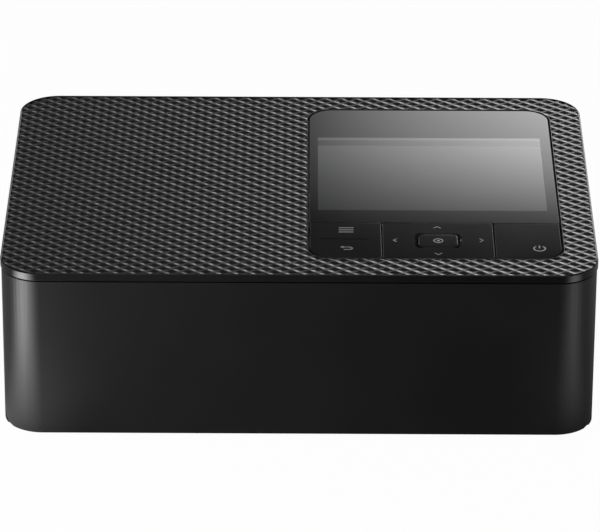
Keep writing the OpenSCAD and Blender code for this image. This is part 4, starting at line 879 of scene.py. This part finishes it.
pad_stems = [stem(pad_mid[0] + x, pad_mid[1] + y, pad_low[2], stem_top) for x, y in PAD_STEMS]
pad_piece = make_piece("four_way_pad", joined(pad_with_dish(), *pad_stems), key_abs, "direction_pad")
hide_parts("direction_pad")

button_shape = joined(
    plate([centred(button_half, BUTTON_R)], button_top - BUTTON_T, button_top, BUTTON_FILLET, 5),
    plate([centred(NECK_HALF, NECK_R, 3)], neck_z, button_top - BUTTON_T + OVERLAP),
    stem(*pad_mid, button_low[2], neck_z + OVERLAP),
)
button_piece = make_piece("confirm_button_cap", button_shape, key_abs, "ok_button")
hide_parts("ok_button")
print("pad middle:", pad_mid.round(2))

# %% [markdown]
# ## Symbols on the keys
# The symbols are printed in pale grey ink. Each is an outline a few hundredths of a millimetre
# thick that rides on its own key, so it moves when the key is pressed. A stroke is a row of
# points widened to both sides; a closed ring uses an outer and an inner outline.

# %% Strokes
INK_T, INK_SUNK = 0.02, 0.01


def stroke(points, width):
    """A polyline widened by half its width to each side, with square ends."""
    points = np.array(points, float)
    edge = np.diff(points, axis=0)
    normal = np.column_stack([-edge[:, 1], edge[:, 0]]) / np.linalg.norm(edge, axis=1)[:, None]
    first, last = normal[:1], normal[-1:]
    middle = (normal[:-1] + normal[1:]) / (1 + (normal[:-1] * normal[1:]).sum(axis=1))[:, None]
    side = np.vstack([first, middle, last]) * width / 2
    return np.vstack([points - side, (points + side)[::-1]])


def printed(outlines, z):
    """Each outline as a thin raised plate at height z."""
    return joined(*[plate([outline], z - INK_SUNK, z + INK_T) for outline in outlines])


def chevron(x, y, along, across, half_w=1.15, half_h=0.55, width=0.28):
    """Two short strokes that meet in a point towards the direction along."""
    along, across = np.array(along, float), np.array(across, float)
    tip = np.array([x, y]) + along * half_h
    wings = np.array([x, y]) - along * half_h
    return stroke([wings - across * half_w, tip, wings + across * half_w], width)


print("points in a chevron:", len(chevron(0, 0, (0, 1), (1, 0))))

# %% [markdown]
# ## Placing the symbols
# The left key has three bars and a return arrow with a groove between them, the pad four chevrons,
# the confirm button a ring with a dot, and the right key a power sign. The groove is painted shade, a
# flat dark strip. They are real shapes and not a picture, so they stay sharp at any distance.

# %% Symbols
BARS_X, BARS_Y, BAR_T, BAR_R = (12.1, 16.7), (-36.0, -34.5, -33.0), 0.4, 0.15
DIVIDER_X, DIVIDER_T, DIVIDER_R = (6.5, 21.25), 0.28, 0.1
RETURN_AT, RETURN_R, RETURN_W = np.array([14.6, -47.5]), 0.85, 0.36
RETURN_TAIL, RETURN_BEND, RETURN_END = -1.2, 0.75, -1.0
RETURN_HEAD = ((-2.1, RETURN_R), (RETURN_END, 0.1), (RETURN_END, 1.6))
POWER_AT, POWER_R, POWER_W = np.array([73.5, -47.1]), 1.75, 0.42
POWER_ARC, POWER_BAR = (125, 415), (0.1, 2.1)
RING_OUT, RING_IN, DOT_R = 1.55, 1.15, 0.5
# x, y, the direction each points in and the one across it
CHEVRONS = (
    (42.5, -32.4, (0, 1), (1, 0)), (42.5, -51.1, (0, -1), (-1, 0)),
    (29.4, -41.6, (-1, 0), (0, 1)), (55.9, -41.5, (1, 0), (0, -1)),
)

bars = [
    rounded_outline(*BARS_X, y - BAR_T / 2, y + BAR_T / 2, BAR_R, BAR_R, 3) for y in BARS_Y
]
return_line = RETURN_AT + np.vstack([
    [[RETURN_TAIL, RETURN_R], [RETURN_BEND, RETURN_R]],
    arc((RETURN_BEND, 0.0), RETURN_R, 75, -75, 8),
    [[RETURN_BEND, -RETURN_R], [RETURN_END, -RETURN_R]],
])
return_head = RETURN_AT + np.array(RETURN_HEAD)
divider = rounded_outline(
    *DIVIDER_X, DIVIDER_Y - DIVIDER_T / 2, DIVIDER_Y + DIVIDER_T / 2, DIVIDER_R, DIVIDER_R, 2,
)
power_ring = stroke(arc(POWER_AT, POWER_R, *POWER_ARC, 28), POWER_W)
power_bar = stroke([POWER_AT + (0, up) for up in POWER_BAR], POWER_W)
ring = [circle(pad_mid, RING_OUT), circle(pad_mid, RING_IN)[::-1]]
confirm_shape = joined(
    plate(ring, button_top - INK_SUNK, button_top + INK_T),
    printed([circle(pad_mid, DOT_R, 20)], button_top),
)

left_symbols = printed([*bars, stroke(return_line, RETURN_W), return_head], key_top)
make_piece("left_key_symbols", left_symbols, icon_ink, "left_key")
# The groove is painted shade: a flat dark strip in place of a cut.
make_piece("left_key_divider", printed([divider], key_top), groove_painted_shade, "left_key")
pad_symbols = printed([chevron(*each) for each in CHEVRONS], key_top)
make_piece("pad_symbols", pad_symbols, icon_ink, "direction_pad")
make_piece("power_symbol", printed([power_ring, power_bar], key_top), icon_ink, "power_key")
make_piece("confirm_symbol", confirm_shape, icon_ink, "ok_button")
print("symbols on the left key:", len(bars) + 2)

# %% [markdown]
# ## Softer edges on the case
# Moulded walls never end in a knife edge. The CAD walls do, so a copy of each is cleaned up, its
# loose triangles merged into flat faces, and only the edges on the outer skin are rounded by a
# Bevel modifier. The hinges, ribs and openings of the CAD part stay exactly where they are.

# %% Rounded copies of the outer shells
WALL_IN, SKIN_TOLERANCE = 0.3, 0.03
MERGE_MM = 0.002
FLAT_ANGLE, SHARP_ANGLE, SMOOTH_ANGLE = 0.5, 50, 30


def rounded_copy(node, name, radius, outer):
    """Copies a CAD node, merges it, and rounds the sharp edges for which outer(points) is true."""
    mesh = frame["nodes"][node].data.copy()
    mesh.name = name
    edit = bmesh.new()
    edit.from_mesh(mesh)
    bmesh.ops.remove_doubles(edit, verts=edit.verts, dist=MERGE_MM * MM)
    bmesh.ops.dissolve_limit(
        edit, angle_limit=math.radians(FLAT_ANGLE), verts=edit.verts, edges=edit.edges,
    )
    edit.verts.ensure_lookup_table()
    edit.edges.ensure_lookup_table()
    on_skin = outer(np.array([v.co for v in edit.verts]) / MM)
    weight = edit.edges.layers.float.new("bevel_weight_edge")
    rounded = 0
    for edge in edit.edges:
        sharp = len(edge.link_faces) == 2 and edge.calc_face_angle(0) > math.radians(SHARP_ANGLE)
        if sharp and all(on_skin[v.index] for v in edge.verts):
            edge[weight] = 1.0
            rounded += 1
    edit.to_mesh(mesh)
    edit.free()
    mesh.shade_smooth()
    mesh.set_sharp_from_angle(angle=math.radians(SMOOTH_ANGLE))
    piece = bpy.data.objects.new(name, mesh)
    bpy.context.scene.collection.objects.link(piece)
    bevel = piece.modifiers.new("soft_edge", "BEVEL")
    bevel.limit_method, bevel.width, bevel.segments = "WEIGHT", radius * MM, 3
    piece.modifiers.new("even_shading", "WEIGHTED_NORMAL").keep_sharp = True
    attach(piece, frame["nodes"][node]["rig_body"])
    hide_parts(node)
    print(name, "rounded edges:", rounded)
    return piece


def on_wall(points):
    """True where a point lies on the outer skin of the walls."""
    distance, _ = signed_distance(
        points[:, :2], lid_low[0] + WALL_IN, lid_high[0] - WALL_IN, lid_low[1] + WALL_IN,
        lid_high[1] - WALL_IN, CORNER_R - WALL_IN, CORNER_R - WALL_IN,
    )
    return np.abs(distance) < SKIN_TOLERANCE


door_piece = rounded_copy("front_door", "front_door_skin", 0.3, on_wall)
body_piece = rounded_copy("body_shell", "body_shell_skin", 0.3, on_wall)
hatch_piece = rounded_copy("ink_door", "ink_door_skin", 0.25, on_wall)

# %% [markdown]
# ## The floor
# Black plastic is lit by what it mirrors, so the floor has two faces. To the camera it is white,
# with a weak shadow. In mirror images the table in front is dark, so that the polished band stays
# black, the part behind brightens to the right, and two soft spots beside each front corner draw
# the light line down that corner. Light Path tells the rays apart, and nothing reads the camera.

# %% Floor
WHITE = (1, 1, 1, 1)
X_AXIS, Y_AXIS, Z_AXIS = (1, 0, 0), (0, 1, 0), (0, 0, 1)
FLOOR_SIZE = 40
FRONT_TO_BACK = {"From Min": -0.12, "From Max": 0.25}
TABLE_TO_SIDE = {"From Min": 0.10, "From Max": 0.35}
BEHIND_RIGHT = {"From Min": -0.05, "From Max": 0.45, "To Min": 0.07, "To Max": 0.85}
BEHIND_FAR_LEFT = {"From Min": -0.6, "From Max": -1.2, "To Min": 0.0, "To Max": 0.4}
TABLE = {"From Min": -0.11, "From Max": 0.05, "To Min": 0.36, "To Max": 0.07}
SIDE_GLOW = 0.45
GLOW_SHARE = 0.975
# centre, radius and strength
FLOOR_SPOTS = (
    ((-0.175, -0.135, 0.0), 0.08, 13.0),
    ((-0.120, -0.095, 0.0), 0.06, 3.4),
    ((0.165, -0.135, 0.0), 0.06, 2.6),
    ((0.120, -0.098, 0.0), 0.05, 1.0),
)


def empty_material(name):
    """A material without nodes, and its tree."""
    material = bpy.data.materials.new(name)
    material.use_nodes = True
    material.node_tree.nodes.clear()
    return material, material.node_tree


def white_to_camera(tree, strength):
    """1, which is white, for rays from the camera, and the given strength for all others."""
    rays = add_node(tree, "ShaderNodeLightPath")
    return add_node(tree, "ShaderNodeMix", {0: rays.outputs["Is Camera Ray"], 2: strength, 3: 1.0})


def floor_glow(tree):
    """The strength that mirror images see: zones that blend along X and Y, plus the soft spots."""
    place = add_node(tree, "ShaderNodeTexCoord").outputs["Object"]
    x, y, _ = add_node(tree, "ShaderNodeSeparateXYZ", {0: place}).outputs
    aside = add_node(tree, "ShaderNodeMath", {0: x}, operation="ABSOLUTE")
    to_side = add_node(tree, "ShaderNodeMapRange", {"Value": aside, **TABLE_TO_SIDE})
    to_back = add_node(tree, "ShaderNodeMapRange", {"Value": y, **FRONT_TO_BACK})
    right, far_left, table = (
        add_node(tree, "ShaderNodeMapRange", {"Value": x, **zone})
        for zone in (BEHIND_RIGHT, BEHIND_FAR_LEFT, TABLE)
    )
    behind = add_node(tree, "ShaderNodeMath", {0: right, 1: far_left}, operation="MAXIMUM")
    in_front = add_node(tree, "ShaderNodeMix", {0: to_side, 2: table, 3: SIDE_GLOW})
    glow = add_node(tree, "ShaderNodeMix", {0: to_back, 2: in_front, 3: behind})
    for centre, radius, strength in FLOOR_SPOTS:
        away = add_node(tree, "ShaderNodeVectorMath", {0: place, 1: centre}, operation="DISTANCE")
        spot = add_node(tree, "ShaderNodeMapRange", {
            "Value": away.outputs["Value"], "From Max": radius, "To Min": strength, "To Max": 0.0,
        }, interpolation_type="SMOOTHSTEP")
        glow = add_node(tree, "ShaderNodeMath", {0: glow, 1: spot}, operation="ADD")
    return glow


def studio_floor():
    """Camera, glossy and transmission rays see the glow, mixed with a little diffuse white that
    takes the shadow. All other rays see the diffuse white alone."""
    material, tree = empty_material("white_studio_floor")
    rays = add_node(tree, "ShaderNodeLightPath").outputs
    direct = rays["Is Camera Ray"]
    for kind in ("Is Glossy Ray", "Is Transmission Ray"):
        direct = add_node(tree, "ShaderNodeMath", {0: direct, 1: rays[kind]}, operation="MAXIMUM")
    share = add_node(tree, "ShaderNodeMath", {0: direct, 1: GLOW_SHARE}, operation="MULTIPLY")
    seen = white_to_camera(tree, floor_glow(tree))
    mixed = add_node(tree, "ShaderNodeMixShader", {
        0: share,
        1: add_node(tree, "ShaderNodeBsdfDiffuse", {"Color": linear("#e9e9e7")}),
        2: add_node(tree, "ShaderNodeEmission", {"Color": WHITE, "Strength": seen}),
    })
    add_node(tree, "ShaderNodeOutputMaterial", {"Surface": mixed})
    return material


def flat_panel(name, centre, right, up, width, height, material):
    """A rectangle: centre -+ right * width / 2 -+ up * height / 2, in metres."""
    centre, right, up = (np.array(v, float) for v in (centre, right, up))
    corners = [
        centre + right * i * width / 2 + up * j * height / 2
        for i, j in ((-1, -1), (1, -1), (1, 1), (-1, 1))
    ]
    mesh = bpy.data.meshes.new(name)
    mesh.from_pydata(np.array(corners), [], [[0, 1, 2, 3]])
    mesh.materials.append(material)
    panel = bpy.data.objects.new(name, mesh)
    bpy.context.scene.collection.objects.link(panel)
    return panel


flat_panel("floor", (0, 0, 0), X_AXIS, Y_AXIS, FLOOR_SIZE, FLOOR_SIZE, studio_floor())
print("floor:", FLOOR_SIZE, "m wide, with", len(FLOOR_SPOTS), "soft spots")

# %% [markdown]
# ## The walls
# A large softbox stands behind a product like this, and its even fall-off shows in the window and
# in the pits of the lid. Here it is a glowing wall: dark on the left, bright on the right, fading
# upwards. Dim walls on the other three sides keep the printer readable when it is seen from there.

# %% Walls
BACK_GLOW, BACK_FADE = 4.6, (1.07, 1.25)
DIM_GLOW, DIM_FADE = 0.4, (0.9, 1.5)
LEAN = 0.07
RISE = {"From Min": 0.064, "From Max": 0.334, "To Min": 0.07, "To Max": 1.0}
FALL = {"From Min": 0.634, "From Max": 1.234, "To Min": 1.0, "To Max": 0.1}
BACK_H, DIM_H = 1.26, 1.6
ROOM_BACK, ROOM_FRONT, ROOM_SIDE = 2.4, -2.6, 2.4


def glowing_wall(name, strength, fade, graded=False):
    """A wall whose strength fades out as a smooth step between two heights.

    A graded one is also scaled by min(rise, fall), both straight lines along X + LEAN * Z. The lean
    lets its dark side reach further in near the floor."""
    material, tree = empty_material(name)
    place = add_node(tree, "ShaderNodeTexCoord").outputs["Object"]
    x, _, z = add_node(tree, "ShaderNodeSeparateXYZ", {0: place}).outputs
    glow = add_node(tree, "ShaderNodeMapRange", {
        "Value": z, "From Min": fade[0], "From Max": fade[1], "To Min": strength, "To Max": 0.0,
    }, interpolation_type="SMOOTHSTEP")
    if graded:
        leaning = add_node(tree, "ShaderNodeMath", {0: z, 1: LEAN, 2: x}, operation="MULTIPLY_ADD")
        rise, fall = (
            add_node(tree, "ShaderNodeMapRange", {"Value": leaning, **line}) for line in (RISE, FALL)
        )
        across = add_node(tree, "ShaderNodeMath", {0: rise, 1: fall}, operation="MINIMUM")
        glow = add_node(tree, "ShaderNodeMath", {0: across, 1: glow}, operation="MULTIPLY")
    emission = add_node(tree, "ShaderNodeEmission", {
        "Color": WHITE, "Strength": white_to_camera(tree, glow),
    })
    add_node(tree, "ShaderNodeOutputMaterial", {"Surface": emission})
    return material


back_glow = glowing_wall("back_wall_glow", BACK_GLOW, BACK_FADE, graded=True)
dim_glow = glowing_wall("dim_wall_glow", DIM_GLOW, DIM_FADE)
room_w, room_d, room_y = 2 * ROOM_SIDE, ROOM_BACK - ROOM_FRONT, (ROOM_BACK + ROOM_FRONT) / 2
flat_panel("back_wall", (0.0, ROOM_BACK, BACK_H / 2), X_AXIS, Z_AXIS, room_w, BACK_H, back_glow)
flat_panel("left_wall", (-ROOM_SIDE, room_y, DIM_H / 2), Y_AXIS, Z_AXIS, room_d, DIM_H, dim_glow)
flat_panel("right_wall", (ROOM_SIDE, room_y, DIM_H / 2), Y_AXIS, Z_AXIS, room_d, DIM_H, dim_glow)
flat_panel("front_wall", (0.0, ROOM_FRONT, DIM_H / 2), X_AXIS, Z_AXIS, room_w, DIM_H, dim_glow)

# %% [markdown]
# ## The lamps
# A wide soft lamp overhead lights the floor and the satin walls. A strip stands low beside each
# front corner. It is left out of mirror images, because in them it would glare on the lid from
# other sides. Two weak strips far behind give the recess of the confirm button its small highlight.

# %% Lamps
FRONT_STRIP, BACK_STRIP, SOFTBOX = (0.20, 0.13), (0.2, 0.3), (1.2, 0.25)
LEFT_CORNER, RIGHT_CORNER, RECESS = (-0.085, -0.06, 0.03), (0.085, -0.06, 0.03), (0.04, -0.04, 0.05)
WORLD_GLOW = 0.08


def area_light(name, place, target, size, power, mirrored=True):
    """A rectangular lamp that faces target. The camera doesn't see it, and polished surfaces only
    do if mirrored is true."""
    data = bpy.data.lights.new(name, "AREA")
    data.shape, data.energy = "RECTANGLE", power
    data.size, data.size_y = size
    lamp = bpy.data.objects.new(name, data)
    lamp.location = place
    lamp.rotation_euler = (Vector(place) - Vector(target)).to_track_quat("Z", "Y").to_euler()
    lamp.visible_camera = False
    lamp.visible_glossy = mirrored
    bpy.context.scene.collection.objects.link(lamp)


area_light("left_strip", (-0.62, -0.42, 0.07), LEFT_CORNER, FRONT_STRIP, power=14, mirrored=False)
area_light("top_soft", (0.1, -0.5, 2.2), (0, 0, 0), SOFTBOX, power=9)
area_light("right_strip", (0.68, -0.24, 0.07), RIGHT_CORNER, FRONT_STRIP, power=4, mirrored=False)
area_light("back_left_strip", (-1.06, 2.16, 0.25), RECESS, BACK_STRIP, power=0.9)
area_light("back_right_strip", (1.14, 2.16, 0.25), RECESS, BACK_STRIP, power=0.4)
world = bpy.data.worlds.new("studio_world")
world.use_nodes = True
join(world.node_tree, world.node_tree.nodes["Background"], {
    "Color": WHITE, "Strength": white_to_camera(world.node_tree, WORLD_GLOW),
})
bpy.context.scene.world = world
print("lamps:", len(bpy.data.lights))
